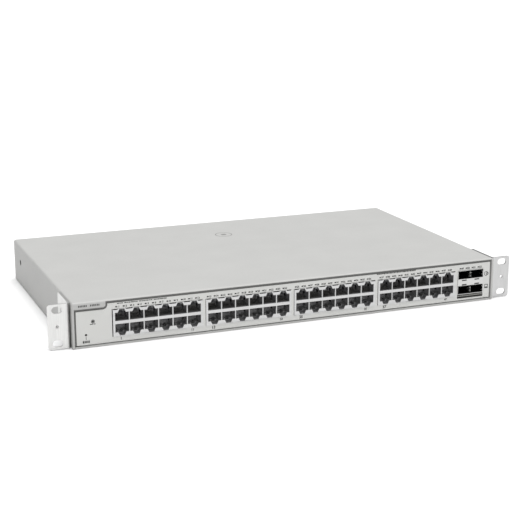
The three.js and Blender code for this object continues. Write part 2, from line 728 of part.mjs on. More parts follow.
// A finned heatsink standing on z, fins along Y.
function heatsink(x0, x1, y0, y1, z, height, fins) {
  const base = SINK_BASE;
  const pitch = (x1 - x0) / fins;
  const points = [[x0, z], [x1, z]];
  for (let i = fins - 1; i >= 0; i--) {
    const right = x0 + (i + 0.75) * pitch;
    const left = x0 + (i + 0.25) * pitch;
    points.push([right, z + base], [right, z + height], [left, z + height], [left, z + base]);
  }
  points[2][0] = x1;
  points[3][0] = x1;
  points[points.length - 1][0] = x0;
  points[points.length - 2][0] = x0;
  return prism("y", polygon(points), y0, y1);
}

// ---- Fans ---------------------------------------------------------------------------------------

// Drawn about the fan's axis at x = 0, z = 0. The struts are on the outlet side.
function fanFrame() {
  const half = FAN / 2;
  const outline = roundRect(-half, half, -half, half, FAN_CORNER);
  const shell = prism("y", outline, FAN_Y0, FAN_Y1).subtract(
    rod("y", 0, 0, FAN_Y0 - 1, FAN_Y1 + 1, FAN_BORE, 24),
  );
  const screwHoles = FAN_HOLES.flatMap((x) =>
    FAN_HOLES.map((z) => rod("y", x, z, FAN_Y0 - 1, FAN_Y1 + 1, FAN_HOLE_R, 8)),
  );
  const motor = rod("y", 0, 0, FAN_Y1 - MOTOR_D, FAN_Y1, HUB_R - 0.5, 20);
  const struts = STRUT.angles.map((degrees) => {
    const g = new THREE.BoxGeometry(FAN_BORE - HUB_R + 3, STRUT.w, STRUT.w);
    g.translate((FAN_BORE + HUB_R) / 2, 0, 0);
    g.rotateY(THREE.MathUtils.degToRad(degrees));
    return solid(g.translate(0, FAN_Y1 - STRUT.w / 2, 0));
  });
  const bearing = rod("y", 0, 0, FAN_Y1 - MOTOR_D - 1, FAN_Y1 - 1, BEARING_R, 12);
  return cut(joined([cut(shell, screwHoles), motor, ...struts]), [bearing]);
}

// Hub, shaft and seven pitched blades, turning about Y.
function fanRotor() {
  const hubEnd = FAN_Y1 - MOTOR_D - HUB_GAP;
  const hub = rod("y", 0, 0, FAN_Y0 + 1, hubEnd, HUB_R, 24);
  const shaft = rod("y", 0, 0, hubEnd - 1, FAN_Y1 - 1.5, SHAFT_R, 12);
  const reach = BLADE.tip - HUB_R + 1;
  const blades = Array.from({ length: BLADE.count }, (_, i) => {
    const g = new THREE.BoxGeometry(reach, BLADE.chord, BLADE.thickness);
    g.rotateX(THREE.MathUtils.degToRad(BLADE.pitch));
    g.translate(HUB_R - 1 + reach / 2, 0, 0);
    g.rotateY((i * 2 * Math.PI) / BLADE.count);
    return solid(g.translate(0, (FAN_Y0 + hubEnd) / 2 + 0.5, 0));
  });
  const sweep = rod("y", 0, 0, FAN_Y0, FAN_Y1, BLADE.tip, 28);
  return joined([hub, shaft, ...blades]).intersect(sweep);
}

// ---- Mains inlet and power supply ---------------------------------------------------------------

function mainsInlet() {
  const { x, z, w, h, flangeW, flangeH, depth } = INLET;
  const flange = prism(
    "y",
    roundRect(x - flangeW / 2, x + flangeW / 2, z - flangeH / 2, z + flangeH / 2, INLET_CORNER),
    REAR_OUT + GAP,
    INLET_FACE,
  );
  const body = block(x - w / 2, x + w / 2, INLET_FACE - depth, INLET_FACE - 1, z - h / 2, z + h / 2);
  // The recess has two corners cut off along the top, so that a plug goes in one way up.
  const { u, v, cut: c, floor } = INLET_RECESS;
  const recess = polygon([
    [x - u, z - v],
    [x + u, z - v],
    [x + u, z + v - c],
    [x + u - c, z + v],
    [x - u + c, z + v],
    [x - u, z + v - c],
  ]);
  const [slotU, slotV] = [INLET_PIN_W / 2 + GAP, INLET_PIN_H / 2 + GAP];
  const pinSlots = INLET_PINS.map(([px, pz]) =>
    block(px - slotU, px + slotU, INLET_FACE - depth - 1, INLET_FACE, pz - slotV, pz + slotV),
  );
  return cut(flange.add(body), [
    prism("y", recess, INLET_FACE - depth + floor, INLET_FACE + 1),
    ...pinSlots,
  ]);
}

function inletPin([x, z]) {
  const tip = INLET_FACE - INLET.pinSink;
  const [u, v] = [INLET_PIN_W / 2, INLET_PIN_H / 2];
  return block(x - u, x + u, INLET_FACE - INLET.depth - 5, tip, z - v, z + v);
}

// ---- Assembly -----------------------------------------------------------------------------------

const finish = (color, roughness, metalness) =>
  new THREE.MeshStandardMaterial({ color, roughness, metalness });

const paint = finish(0xd2d2ce, 0.55, 0.0);
const plate = finish(0xe2e2e2, 0.4, 0.6);
const nickel = finish(0xdedee2, 0.3, 0.9);
const blackPlastic = finish(0x2b2b2b, 0.5, 0.0);
const clear = finish(0xd8dcda, 0.15, 0.0);
const steel = finish(0xb4b4b4, 0.35, 0.9);
const solderMask = finish(0x1d5a36, 0.5, 0.0);
const aluminium = finish(0xa8acb0, 0.4, 0.9);
const darkMetal = finish(0x6e6e6a, 0.6, 0.5);
const copper = finish(0xb87a4a, 0.4, 0.8);
const film = finish(0xe8e0c0, 0.5, 0.0);

const chassis = new THREE.Group();

function add(name, shape, material, position = [0, 0, 0]) {
  const data = shape.getMesh();
  const geometry = new THREE.BufferGeometry();
  geometry.setAttribute("position", new THREE.BufferAttribute(data.vertProperties, 3));
  geometry.setIndex(new THREE.BufferAttribute(data.triVerts, 1));
  geometry.computeVertexNormals();
  const mesh = new THREE.Mesh(geometry, material);
  mesh.name = name;
  mesh.position.set(...position);
  chassis.add(mesh);
  return mesh;
}

function addChassis() {
  add("base_tray", baseTray(), paint);
  add("top_cover", topCover(), paint);
  add("front_panel", frontPanel(), paint);
  add("rear_panel", rearPanel(), paint);
  const ear = rackEar();
  add("ear_right", ear, plate);
  add("ear_left", ear, plate).scale.x = -1;
}

function addFasteners() {
  const sunk = countersunkScrew();
  const outer = HALF_W + EAR_GAP + EAR_T;
  for (const [side, sign] of [["left", -1], ["right", 1]]) {
    const places = EAR_SCREW_Y.flatMap((y) => EAR_SCREW_Z.map((z) => [sign * outer, y, z]));
    places.forEach((place, i) => {
      add(`ear_screw_${side}_${i + 1}`, sunk, steel, place).rotation.z = (-sign * Math.PI) / 2;
    });
    const { head, rim, shank, length, sink } = SIDE_SCREW;
    const flat = screw([[0, -length], [shank, -length], [shank, -sink], [head, -rim], [head, 0], [0, 0]]);
    const place = [sign * (HALF_W - SIDE_SCREW_INSET), SIDE_SCREW.y, SIDE_SCREW.z];
    add(`cover_side_screw_${side}`, flat, darkMetal, place).rotation.z = (-sign * Math.PI) / 2;
  }
  const pan = panScrew(PAN_SCREW);
  COVER_TAB_X.forEach((x, i) => {
    add(`cover_rear_screw_${i + 1}`, pan, steel, [x, BODY_D + GAP, COVER_TAB.screwZ]);
  });
  const ground = panScrew(GROUND_SCREW);
  add("ground_screw", ground, steel, [GROUND_SCREW.x, REAR_OUT + GAP, GROUND_SCREW.z]);
}

function addJacks() {
  const shield = jackShield();
  const housing = jackHousing();
  const legY = BLOCK_Y + BLOCK_D + PIPE_T;
  for (let i = 0; i < JACK_BLOCKS; i++) {
    const place = [BLOCK_X + i * BLOCK_PITCH, 0, 0];
    add(`jack_shield_${i + 1}`, shield, nickel, place);
    add(`jack_housing_${i + 1}`, housing, blackPlastic, place);
    const pipe = lightPipe(2 * JACK_COLUMNS, LED_FIRST[i], BLOCK_W, legY);
    add(`jack_light_pipe_${i + 1}`, pipe, clear, place);
  }
}

function addModuleCage() {
  add("module_cage", moduleCage(), nickel);
  const connector = moduleConnector();
  const columnStep = cellX(1) - cellX(0);
  const rowStep = CAGE_UPPER[0] - CAGE_LOWER[0];
  for (const row of [0, 1]) {
    for (const column of [0, 1]) {
      const name = `module_connector_${1 + column + 2 * row}`;
      add(name, connector, blackPlastic, [column * columnStep, 0, row * rowStep]);
    }
  }
  const pipe = lightPipe(4, MODULE_LED_FIRST, CAGE_W, CAGE_Y + CAGE_D + PIPE_T);
  add("module_light_pipe", pipe, clear, [CAGE_X0, 0, 0]);
  add("cage_gasket", cageGasket(), darkMetal);
}

function addControls() {
  add("reset_button", resetButton(), blackPlastic);
  add("reset_switch", resetSwitch(), blackPlastic);
  add("status_light_pipe", statusPipe(), clear);
}

function addBoards() {
  const { x, y0, y1 } = MAIN_BOARD;
  add("main_board", board(-x, x, y0, y1, BOARD_POSTS), solderMask);
  const half = CHIP.w / 2;
  const [y0Chip, y1Chip] = [CHIP.y - half, CHIP.y + half];
  add("switch_chip", block(-half, half, y0Chip, y1Chip, ON_BOARD, ON_BOARD + CHIP.h), blackPlastic);
  const w = CHIP_SINK.w / 2;
  const onChip = ON_BOARD + CHIP.h + GAP;
  const chipSink = heatsink(-w, w, CHIP.y - w, CHIP.y + w, onChip, CHIP_SINK.h, CHIP_SINK.fins);
  add("switch_heatsink", chipSink, aluminium);
  add("phy_heatsink", standingSink(PHY_SINK), aluminium);
}

function standingSink(sink) {
  return heatsink(sink.x0, sink.x1, sink.y0, sink.y1, ON_BOARD, sink.h, sink.fins);
}

// Two yokes with the wound coil between them.
function transformer() {
  const { x, y, w, d, yoke, h, coil } = TRANSFORMER;
  const [x0, x1, y0, y1] = [x - w / 2, x + w / 2, y - d / 2, y + d / 2];
  return joined([
    block(x0, x1, y0, y1, ON_BOARD, ON_BOARD + yoke),
    block(x0, x1, y0, y1, ON_BOARD + h - yoke, ON_BOARD + h),
    rod("z", x, y, ON_BOARD + yoke - 1, ON_BOARD + h - yoke + 1, coil, 16),
  ]);
}

function addPower() {
  const { x0, x1, y0, y1 } = PSU;
  add("psu_board", board(x0, x1, y0, y1, PSU_POSTS), solderMask);
  const sheet = cut(
    block(x0 + 1, x1 - 1, y0 - 2, y1 + 2, INSULATOR.z0, INSULATOR.z1),
    PSU_POSTS.map(([x, y]) => rod("z", x, y, 0, FAR, POST_R + 2 * GAP, 8)),
  );
  add("psu_insulator", sheet, film);
  add("psu_transformer", transformer(), copper);
  const { x, y, r, h } = CAPACITOR;
  add("psu_capacitor", rod("z", x, y, ON_BOARD, ON_BOARD + h, r, 20), blackPlastic);
  add("psu_heatsink", standingSink(PSU_SINK), aluminium);
  add("mains_inlet", mainsInlet(), blackPlastic);
  INLET_PINS.forEach((place, i) => {
    add(`inlet_pin_${["line", "earth", "neutral"][i]}`, inletPin(place), steel);
  });
}

function addFans() {
  const frame = fanFrame();
  const rotor = fanRotor();
  FAN_X.forEach((x, i) => {
    add(`fan_frame_${i + 1}`, frame, blackPlastic, [x, 0, FAN_Z]);
    add(`fan_rotor_${i + 1}`, rotor, blackPlastic, [x, 0, FAN_Z]);
  });
}

addChassis();
addFasteners();
addJacks();
addModuleCage();
addControls();
addBoards();
addPower();
addFans();

const bounds = new THREE.Box3().setFromObject(chassis);
chassis.position.y = -(bounds.min.y + bounds.max.y) / 2;

export default chassis;
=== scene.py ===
"""Looks for a 1U rack-mount network switch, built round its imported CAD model.

Lengths are in metres, in the row frame: +X right seen from the front, -Y out of the front, +Z up.
"""

import json
import math

import bmesh
import bpy
from mathutils import Matrix, Vector


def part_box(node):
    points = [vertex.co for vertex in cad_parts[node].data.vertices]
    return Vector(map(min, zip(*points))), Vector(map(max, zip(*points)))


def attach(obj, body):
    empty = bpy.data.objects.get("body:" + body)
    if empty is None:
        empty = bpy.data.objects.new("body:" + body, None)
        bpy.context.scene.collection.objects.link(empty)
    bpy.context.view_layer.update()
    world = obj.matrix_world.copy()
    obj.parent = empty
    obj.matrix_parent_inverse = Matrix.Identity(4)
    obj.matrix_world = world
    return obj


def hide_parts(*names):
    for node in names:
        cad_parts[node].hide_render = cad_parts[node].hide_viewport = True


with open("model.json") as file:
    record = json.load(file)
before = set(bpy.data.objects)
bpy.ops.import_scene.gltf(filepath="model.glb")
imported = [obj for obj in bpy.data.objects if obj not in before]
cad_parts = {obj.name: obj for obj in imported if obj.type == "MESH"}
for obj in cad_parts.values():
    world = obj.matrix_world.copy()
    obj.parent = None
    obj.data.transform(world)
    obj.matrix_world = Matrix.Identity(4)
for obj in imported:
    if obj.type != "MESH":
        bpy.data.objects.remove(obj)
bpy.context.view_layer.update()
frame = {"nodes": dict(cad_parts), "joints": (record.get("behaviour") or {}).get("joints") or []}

MM = 0.001
BODY = "chassis"

# ---- Places that follow from the frame ----------------------------------------------------------

COVER_LO, COVER_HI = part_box("top_cover")
PANEL_LO, PANEL_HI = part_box("front_panel")
FRONT = COVER_LO.y  # the face of the front frame
PANEL_FACE = PANEL_LO.y
TOP = COVER_HI.z

# the opening in the cover's front, with the badge tab's corner at top left
OPENING = {"side": 2.0 * MM, "bottom": 1.7 * MM, "top": 42.3 * MM}
TAB_CORNER = {"x": -188.4 * MM, "z": 37.0 * MM, "radius": 2.5 * MM}
GROOVE_SIDE = 1.8 * MM
GROOVE_TAB = 2.3 * MM
GROOVE_DEPTH = 1.4 * MM

JACK_BLOCKS = 4
JACK_COLUMNS = 6
JACK_PITCH = 14.0 * MM
JACK_FIRST = 8.55 * MM  # first column's centre, from the block's left side
JACK_MIDDLE = 20.85 * MM  # height of the bar between the two rows
JACK_CAVITY_RISE = 1.7 * MM  # from there to the nearer side of either row's cavities
JACK_CAVITY_DEPTH = 13 * MM
JACK_CAVITY_HALF_W = 6.2 * MM
JACK_CAVITY_H = 7.5 * MM

LED_FIRST = (3.6 * MM, 1.9 * MM, 1.6 * MM, 2.3 * MM)  # first indicator, from each block's left side
MODULE_LED_FIRST = 2.6 * MM
LED_PITCH = JACK_PITCH / 2
LED_HEIGHT = 35.9 * MM
LED_NUMBER = 2.4 * MM  # from an indicator to the middle of its number

# ---- Camera, floor and light --------------------------------------------------------------------

CAMERA_PLACE = Vector((-0.4705, FRONT - 1.0957, 0.3716))
CAMERA_AZIMUTH = math.radians(-21.695)
CAMERA_ELEVATION = math.radians(14.629)
CAMERA_ROLL = math.radians(-0.075)
CAMERA_LENS = 88.15

WORLD_LIGHT = 0.44
KEY = {"azimuth": 35, "elevation": 84, "strength": 3.5, "spread": 50}
SOFTBOX = {"place": (0.12, -2.3, 0.75), "size": (1.3, 0.9), "power": 9.2}
FLOOR_HALF = 90  # in metres
FLOOR_DROP = 0.2 * MM  # the floor lies this far below the object


def make_camera():
    data = bpy.data.cameras.new("camera")
    data.lens = CAMERA_LENS
    data.sensor_width = 36
    data.clip_end = 200
    camera = bpy.data.objects.new("camera", data)
    tilt = Matrix.Rotation(math.pi / 2 - CAMERA_ELEVATION, 4, "X")
    turn = Matrix.Rotation(CAMERA_AZIMUTH, 4, "Z") @ tilt
    camera.matrix_world = Matrix.Translation(CAMERA_PLACE) @ turn @ Matrix.Rotation(CAMERA_ROLL, 4, "Z")
    bpy.context.scene.collection.objects.link(camera)
    bpy.context.scene.camera = camera


def sun(name, azimuth, elevation, strength, spread):
    """A distant soft light; azimuth is its side, 0 in front of the object and 90 to its right."""
    data = bpy.data.lights.new(name, "SUN")
    data.energy = strength
    data.angle = math.radians(spread)
    light = bpy.data.objects.new(name, data)
    tilt = Matrix.Rotation(math.radians(90 - elevation), 4, "X")
    light.matrix_world = Matrix.Rotation(math.radians(azimuth), 4, "Z") @ tilt
    bpy.context.scene.collection.objects.link(light)


def softbox(name, place, size, power):
    """A rectangular light aimed at the object."""
    data = bpy.data.lights.new(name, "AREA")
    data.shape = "RECTANGLE"
    data.size, data.size_y = size
    data.energy = power
    light = bpy.data.objects.new(name, data)
    light.location = place
    light.rotation_euler = (-Vector(place)).to_track_quat("-Z", "Y").to_euler()
    bpy.context.scene.collection.objects.link(light)


def make_light():
    world = bpy.data.worlds.new("studio")
    bpy.context.scene.world = world
    world.use_nodes = True
    background = world.node_tree.nodes["Background"]
    background.inputs["Color"].default_value = (1.0, 1.0, 1.0, 1.0)
    background.inputs["Strength"].default_value = WORLD_LIGHT
    sun("key", KEY["azimuth"], KEY["elevation"], KEY["strength"], KEY["spread"])
    softbox("softbox", SOFTBOX["place"], SOFTBOX["size"], SOFTBOX["power"])
    bpy.context.scene.view_settings.view_transform = "Standard"


def make_floor():
    bm = bmesh.new()
    bmesh.ops.create_grid(bm, x_segments=4, y_segments=4, size=FLOOR_HALF)
    mesh = bpy.data.meshes.new("floor")
    bm.to_mesh(mesh)
    bm.free()
    floor = bpy.data.objects.new("floor", mesh)
    floor.location.z = -FLOOR_DROP
    bpy.context.scene.collection.objects.link(floor)
    material = Surface("floor_white", (0.83, 0.83, 0.83), roughness=0.9)
    material.vary(0.985, 1.0, 3.0)
    mesh.materials.append(material.material)


# ---- Materials ----------------------------------------------------------------------------------


class Surface:
    """A Principled material with procedural variation, worked out in object space in metres."""

    def __init__(self, name, colour, roughness=0.5, metallic=0.0, **sockets):
        self.material = bpy.data.materials.new(name)
        self.material.use_nodes = True
        self.tree = self.material.node_tree
        self.shader = self.tree.nodes["Principled BSDF"]
        self.colour = colour
        self.roughness = roughness
        self.set("Base Color", (*colour, 1.0))
        self.set("Roughness", roughness)
        self.set("Metallic", metallic)
        for socket, value in sockets.items():
            self.set(socket.replace("_", " "), value)
        self.coordinates = self.tree.nodes.new("ShaderNodeTexCoord").outputs["Object"]

    def set(self, socket, value):
        self.shader.inputs[socket].default_value = value

    def node(self, kind, **values):
        made = self.tree.nodes.new(kind)
        for name, value in values.items():
            setattr(made, name, value)
        return made

    def link(self, start, end):
        self.tree.links.new(start, end)

    def stretched(self, stretch):
        """Object coordinates scaled by a factor along each axis, for brushed or drawn marks."""
        mapping = self.node("ShaderNodeMapping")
        mapping.inputs["Scale"].default_value = stretch
        self.link(self.coordinates, mapping.inputs["Vector"])
        return mapping.outputs["Vector"]

    def noise(self, scale, detail=3.0, stretch=(1, 1, 1)):
        made = self.node("ShaderNodeTexNoise")
        made.inputs["Scale"].default_value = scale
        made.inputs["Detail"].default_value = detail
        self.link(self.stretched(stretch), made.inputs["Vector"])
        return made.outputs["Fac"]

    def remap(self, value, low, high, start=0.3, end=0.7):
        made = self.node("ShaderNodeMapRange")
        self.link(value, made.inputs["Value"])
        made.inputs["From Min"].default_value = start
        made.inputs["From Max"].default_value = end
        made.inputs["To Min"].default_value = low
        made.inputs["To Max"].default_value = high
        return made.outputs["Result"]

    def blend(self, factor, dark, light):
        """A colour between dark and light, linked to the base colour."""
        made = self.node("ShaderNodeMix", data_type="RGBA")
        self.link(factor, made.inputs["Factor"])
        made.inputs[6].default_value = (*dark, 1.0)
        made.inputs[7].default_value = (*light, 1.0)
        self.link(made.outputs[2], self.shader.inputs["Base Color"])
        return made.outputs[2]

    def vary(self, low, high, scale, stretch=(1, 1, 1)):
        """The base colour drifts between low and high times itself."""
        dark = [c * low for c in self.colour]
        light = [c * high for c in self.colour]
        self.blend(self.remap(self.noise(scale, stretch=stretch), 0, 1), dark, light)
        return self

    def shade_inward(self, start, end, low):
        """Painted light and shade: the base colour goes from itself to low times itself from start to
        end along Y.
        """
        place = self.node("ShaderNodeSeparateXYZ")
        self.link(self.coordinates, place.inputs["Vector"])
        depth = self.remap(place.outputs["Y"], 1.0, low, start, end)
        colour = self.shader.inputs["Base Color"].links[0].from_socket
        scaled = self.node("ShaderNodeVectorMath", operation="SCALE")
        self.link(colour, scaled.inputs[0])
        self.link(depth, scaled.inputs["Scale"])
        self.link(scaled.outputs["Vector"], self.shader.inputs["Base Color"])
        return self

    def roughen(self, low, high, scale, stretch=(1, 1, 1)):
        value = self.remap(self.noise(scale, stretch=stretch), low, high)
        self.link(value, self.shader.inputs["Roughness"])
        return self

    def bump(self, height, scale, detail=3.0, stretch=(1, 1, 1), strength=0.6):
        """Raised and sunk by height, in metres, at scale features a metre."""
        made = self.node("ShaderNodeBump")
        made.inputs["Strength"].default_value = strength
        made.inputs["Distance"].default_value = height
        self.link(self.noise(scale, detail, stretch), made.inputs["Height"])
        self.link(made.outputs["Normal"], self.shader.inputs["Normal"])
        return self


def powder_coat(name, colour, roughness=0.5):
    surface = Surface(name, colour, roughness=roughness, Specular_IOR_Level=0.35)
    surface.vary(0.975, 1.015, 28)
    surface.roughen(roughness - 0.05, roughness + 0.07, 900)
    return surface.bump(0.00004, 1400, detail=2.0).material


def brushed_surface(name, colour, roughness, along):
    """Sheet or drawn metal with fine marks along one axis: 0 for X, 1 for Y, 2 for Z."""
    stretch = [1.0, 1.0, 1.0]
    stretch[along] = 0.04
    surface = Surface(name, colour, roughness=roughness, metallic=1.0)
    surface.vary(0.93, 1.04, 1500, stretch)
    surface.roughen(roughness - 0.06, roughness + 0.08, 1800, stretch)
    return surface.bump(0.00001, 2400, stretch=stretch, strength=0.35)


def brushed_metal(name, colour, roughness, along):
    return brushed_surface(name, colour, roughness, along).material


def cage_sheet():
    """Nickel sheet with painted shade: its colour falls to 0.16 of itself from 0.5 mm to 2.5 mm behind
    the front, standing in for the shade inside the cells.
    """
    surface = brushed_surface("cage_nickel_painted_shade", (0.56, 0.56, 0.55), 0.34, 1)
    return surface.shade_inward(FRONT + 0.5 * MM, FRONT + 2.5 * MM, 0.16).material


def jack_plastic():
    """Moulded plastic with painted light: its colour grows to 3.6 times itself from 1.5 mm to 11 mm
    behind the front, standing in for light on the faces deep in each jack.
    """
    surface = Surface("jack_plastic", (0.085, 0.085, 0.087), roughness=0.5)
    surface.vary(0.88, 1.12, 180)
    surface.shade_inward(FRONT + 1.5 * MM, FRONT + 11 * MM, 3.6)
    surface.roughen(0.44, 0.6, 1200)
    return surface.bump(0.00002, 2600, detail=2.0, strength=0.4).material


def moulded_plastic(name, colour, roughness=0.5):
    surface = Surface(name, colour, roughness=roughness)
    surface.vary(0.88, 1.12, 180)
    surface.roughen(roughness - 0.06, roughness + 0.1, 1200)
    return surface.bump(0.00002, 2600, detail=2.0, strength=0.4).material


def light_guide():
    surface = Surface(
        "light_guide", (0.025, 0.028, 0.026), roughness=0.18, Transmission_Weight=0.2, IOR=1.49
    )
    surface.vary(0.9, 1.1, 240)
    return surface.roughen(0.12, 0.25, 500).material


def solder_mask():
    """Green board with fine copper tracks showing through the mask."""
    surface = Surface("solder_mask", (0.012, 0.11, 0.045), roughness=0.35)
    tracks = surface.node("ShaderNodeTexBrick")
    tracks.inputs["Scale"].default_value = 160
    tracks.inputs["Mortar Size"].default_value = 0.012
    tracks.inputs["Color1"].default_value = (0, 0, 0, 1)
    tracks.inputs["Color2"].default_value = (0.25, 0.25, 0.25, 1)
    tracks.inputs["Mortar"].default_value = (1, 1, 1, 1)
    surface.link(surface.coordinates, tracks.inputs["Vector"])
    surface.blend(tracks.outputs["Color"], (0.010, 0.095, 0.040), (0.030, 0.20, 0.085))
    return surface.bump(0.00002, 900, strength=0.4).material


def wound_tape():
    surface = Surface("wound_tape", (0.62, 0.42, 0.06), roughness=0.4)
    bands = surface.node("ShaderNodeTexWave", bands_direction="Z")
    bands.inputs["Scale"].default_value = 55
    bands.inputs["Distortion"].default_value = 1.5
    surface.link(surface.coordinates, bands.inputs["Vector"])
    surface.blend(bands.outputs["Fac"], (0.50, 0.32, 0.04), (0.72, 0.52, 0.10))
    return surface.bump(0.00003, 700).material


def insulating_film():
    surface = Surface("insulating_film", (0.62, 0.60, 0.46), roughness=0.3)
    return surface.vary(0.94, 1.06, 60).roughen(0.22, 0.4, 90).material


def printed_ink(name, colour):
    surface = Surface(name, colour, roughness=0.55)
    return surface.vary(0.85, 1.2, 900).bump(0.00001, 1500, strength=0.3).material


PAINT = powder_coat("light_grey_powder_coat", (0.405, 0.405, 0.396))
PANEL_PAINT = powder_coat("pale_panel_powder_coat", (0.535, 0.536, 0.521))
# Dark coat for the strip in the groove round the panel, as painted shade.
GROOVE_PAINTED_SHADE = powder_coat("painted_groove_shade_coat", (0.13, 0.13, 0.126))
# Black as painted shade, for sheets put where only shade falls: slot ends in the jacks, the gap above
# and left of each jack block, and the cage's latch slots.
PAINTED_SHADE_BLACK = moulded_plastic("painted_shade_black", (0.012, 0.012, 0.012), 0.6)
# The two ears share one plating; the left copy is painted lighter and the right darker, as painted light
# and shade for their different reflections.
EAR_LEFT_LIT_COPY = brushed_metal("satin_ear_plate_lit_copy", (0.65, 0.65, 0.64), 0.40, 2)
EAR_RIGHT_SHADED_COPY = brushed_metal("satin_ear_plate_shaded_copy", (0.54, 0.54, 0.54), 0.40, 2)
NICKEL = brushed_metal("bright_nickel_sheet", (0.54, 0.54, 0.54), 0.36, 0)
# Cage nickel, its colour painted darker inside the cells as painted shade.
CAGE_NICKEL_PAINTED_SHADE = cage_sheet()
SPRING_METAL = brushed_metal("cage_spring_metal", (0.80, 0.80, 0.78), 0.25, 1)
GASKET_METAL = brushed_metal("gasket_spring_steel", (0.28, 0.28, 0.265), 0.36, 0)
ZINC = brushed_metal("zinc_plate", (0.60, 0.60, 0.59), 0.36, 0)
BLACK_OXIDE = moulded_plastic("black_oxide", (0.008, 0.008, 0.008), 0.85)
# Gold flash painted darker and greyer than bare gold; the darkening is painted shade for contacts deep
# in the jacks.
GOLD_IN_PAINTED_SHADE = brushed_metal("gold_flash_painted_shade", (0.37, 0.35, 0.315), 0.32, 1)
ALUMINIUM = brushed_metal("extruded_aluminium", (0.56, 0.57, 0.59), 0.38, 1)
# Jack plastic, its colour painted lighter deep in the jacks as painted light.
JACK_PLASTIC_PAINTED_LIGHT = jack_plastic()
BLACK_PLASTIC = moulded_plastic("black_plastic", (0.022, 0.022, 0.023), 0.45)
GUIDE = light_guide()
MASK = solder_mask()
TAPE = wound_tape()
FILM = insulating_film()
INK = printed_ink("grey_ink", (0.016, 0.016, 0.016))
LEGEND_INK = printed_ink("legend_ink", (0.035, 0.035, 0.034))
PALE_INK = printed_ink("pale_ink", (0.20, 0.20, 0.194))


# ---- Mesh helpers -------------------------------------------------------------------------------


def smooth_by_angle(mesh, degrees):
    for polygon in mesh.polygons:
        polygon.use_smooth = True
    mesh.set_sharp_from_angle(angle=math.radians(degrees))


def bevel(obj, width, segments=2, degrees=40):
    modifier = obj.modifiers.new("edge", "BEVEL")
    modifier.width = width
    modifier.segments = segments
    modifier.limit_method = "ANGLE"
    modifier.angle_limit = math.radians(degrees)
    modifier.use_clamp_overlap = True
    normals = obj.modifiers.new("flats", "WEIGHTED_NORMAL")
    normals.weight = 100
    normals.keep_sharp = True


def piece(name, bm, material, body=BODY, replaces=(), smooth=35):
    """Finishes a bmesh as an object that rides on a body."""
    bmesh.ops.recalc_face_normals(bm, faces=bm.faces)
    mesh = bpy.data.meshes.new(name)
    bm.to_mesh(mesh)
    bm.free()
    mesh.materials.append(material)
    smooth_by_angle(mesh, smooth)
    obj = bpy.data.objects.new(name, mesh)
    bpy.context.scene.collection.objects.link(obj)
    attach(obj, body)
    if replaces:
        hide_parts(*replaces)
    return obj


def add_box(bm, lo, hi):
    size = Vector(hi) - Vector(lo)
    middle = (Vector(hi) + Vector(lo)) / 2
    matrix = Matrix.Translation(middle) @ Matrix.Diagonal((*size, 1.0))
    bmesh.ops.create_cube(bm, size=1.0, matrix=matrix)


def add_outline(bm, points, depth):
    """Extrudes a closed outline of 3D points by the vector depth."""
    depth = Vector(depth)
    near = [bm.verts.new(p) for p in points]
    far = [bm.verts.new(Vector(p) + depth) for p in points]
    bm.faces.new(near)
    bm.faces.new(list(reversed(far)))
    count = len(points)
    for i in range(count):
        j = (i + 1) % count
        bm.faces.new((near[i], near[j], far[j], far[i]))


def add_strip(bm, path, thickness, width):
    """A flat strip along a path in the YZ plane, width metres wide to +X, thickness across the path."""
    left = []
    right = []
    for i, point in enumerate(path):
        before = path[max(i - 1, 0)]
        after = path[min(i + 1, len(path) - 1)]
        along = (Vector(after) - Vector(before)).normalized()
        across = Vector((0, -along.z, along.y)) * (thickness / 2)
        left.append(Vector(point) + across)
        right.append(Vector(point) - across)
    add_outline(bm, left + list(reversed(right)), (width, 0, 0))


def add_lathe(bm, profile, matrix, sides):
    """Turns a profile of (radius, height) pairs about Z, then places it with matrix."""
    rings = []
    for radius, height in profile:
        if radius < 1e-9:
            rings.append([bm.verts.new(matrix @ Vector((0, 0, height)))])
            continue
        ring = []
        for i in range(sides):
            angle = 2 * math.pi * i / sides
            place = Vector((radius * math.cos(angle), radius * math.sin(angle), height))
            ring.append(bm.verts.new(matrix @ place))
        rings.append(ring)
    for low, high in zip(rings, rings[1:]):
        for i in range(sides):
            j = (i + 1) % sides
            if len(low) == 1 and len(high) == 1:
                continue
            if len(low) == 1:
                bm.faces.new((low[0], high[j], high[i]))
            elif len(high) == 1:
                bm.faces.new((low[i], low[j], high[0]))
            else:
                bm.faces.new((low[i], low[j], high[j], high[i]))


def arc(centre, radius, start, end, steps):
    """Points of an arc in a plane, from start to end degrees."""
    points = []
    for i in range(steps + 1):
        angle = math.radians(start + (end - start) * i / steps)
        points.append((centre[0] + radius * math.cos(angle), centre[1] + radius * math.sin(angle)))
    return points


def ring_outline(centre, radius, steps):
    return arc(centre, radius, 0, 360 * (steps - 1) / steps, steps - 1)


def cut_mesh(bm_body, bm_tool):
    """The body's bmesh with the tool's taken out of it, as a new bmesh."""
    body = bpy.data.objects.new("cut_body", bpy.data.meshes.new("cut_body"))
    tool = bpy.data.objects.new("cut_tool", bpy.data.meshes.new("cut_tool"))
    for obj, bm in ((body, bm_body), (tool, bm_tool)):
        bmesh.ops.recalc_face_normals(bm, faces=bm.faces)
        bm.to_mesh(obj.data)
        bm.free()
        bpy.context.scene.collection.objects.link(obj)
    modifier = body.modifiers.new("cut", "BOOLEAN")
    modifier.operation = "DIFFERENCE"
    modifier.solver = "EXACT"
    modifier.object = tool
    bpy.context.view_layer.update()
    result = bmesh.new()
    result.from_object(body, bpy.context.evaluated_depsgraph_get())
    for obj in (body, tool):
        mesh = obj.data
        bpy.data.objects.remove(obj)
        bpy.data.meshes.remove(mesh)
    return result


# ---- CAD nodes that keep their shape ------------------------------------------------------------


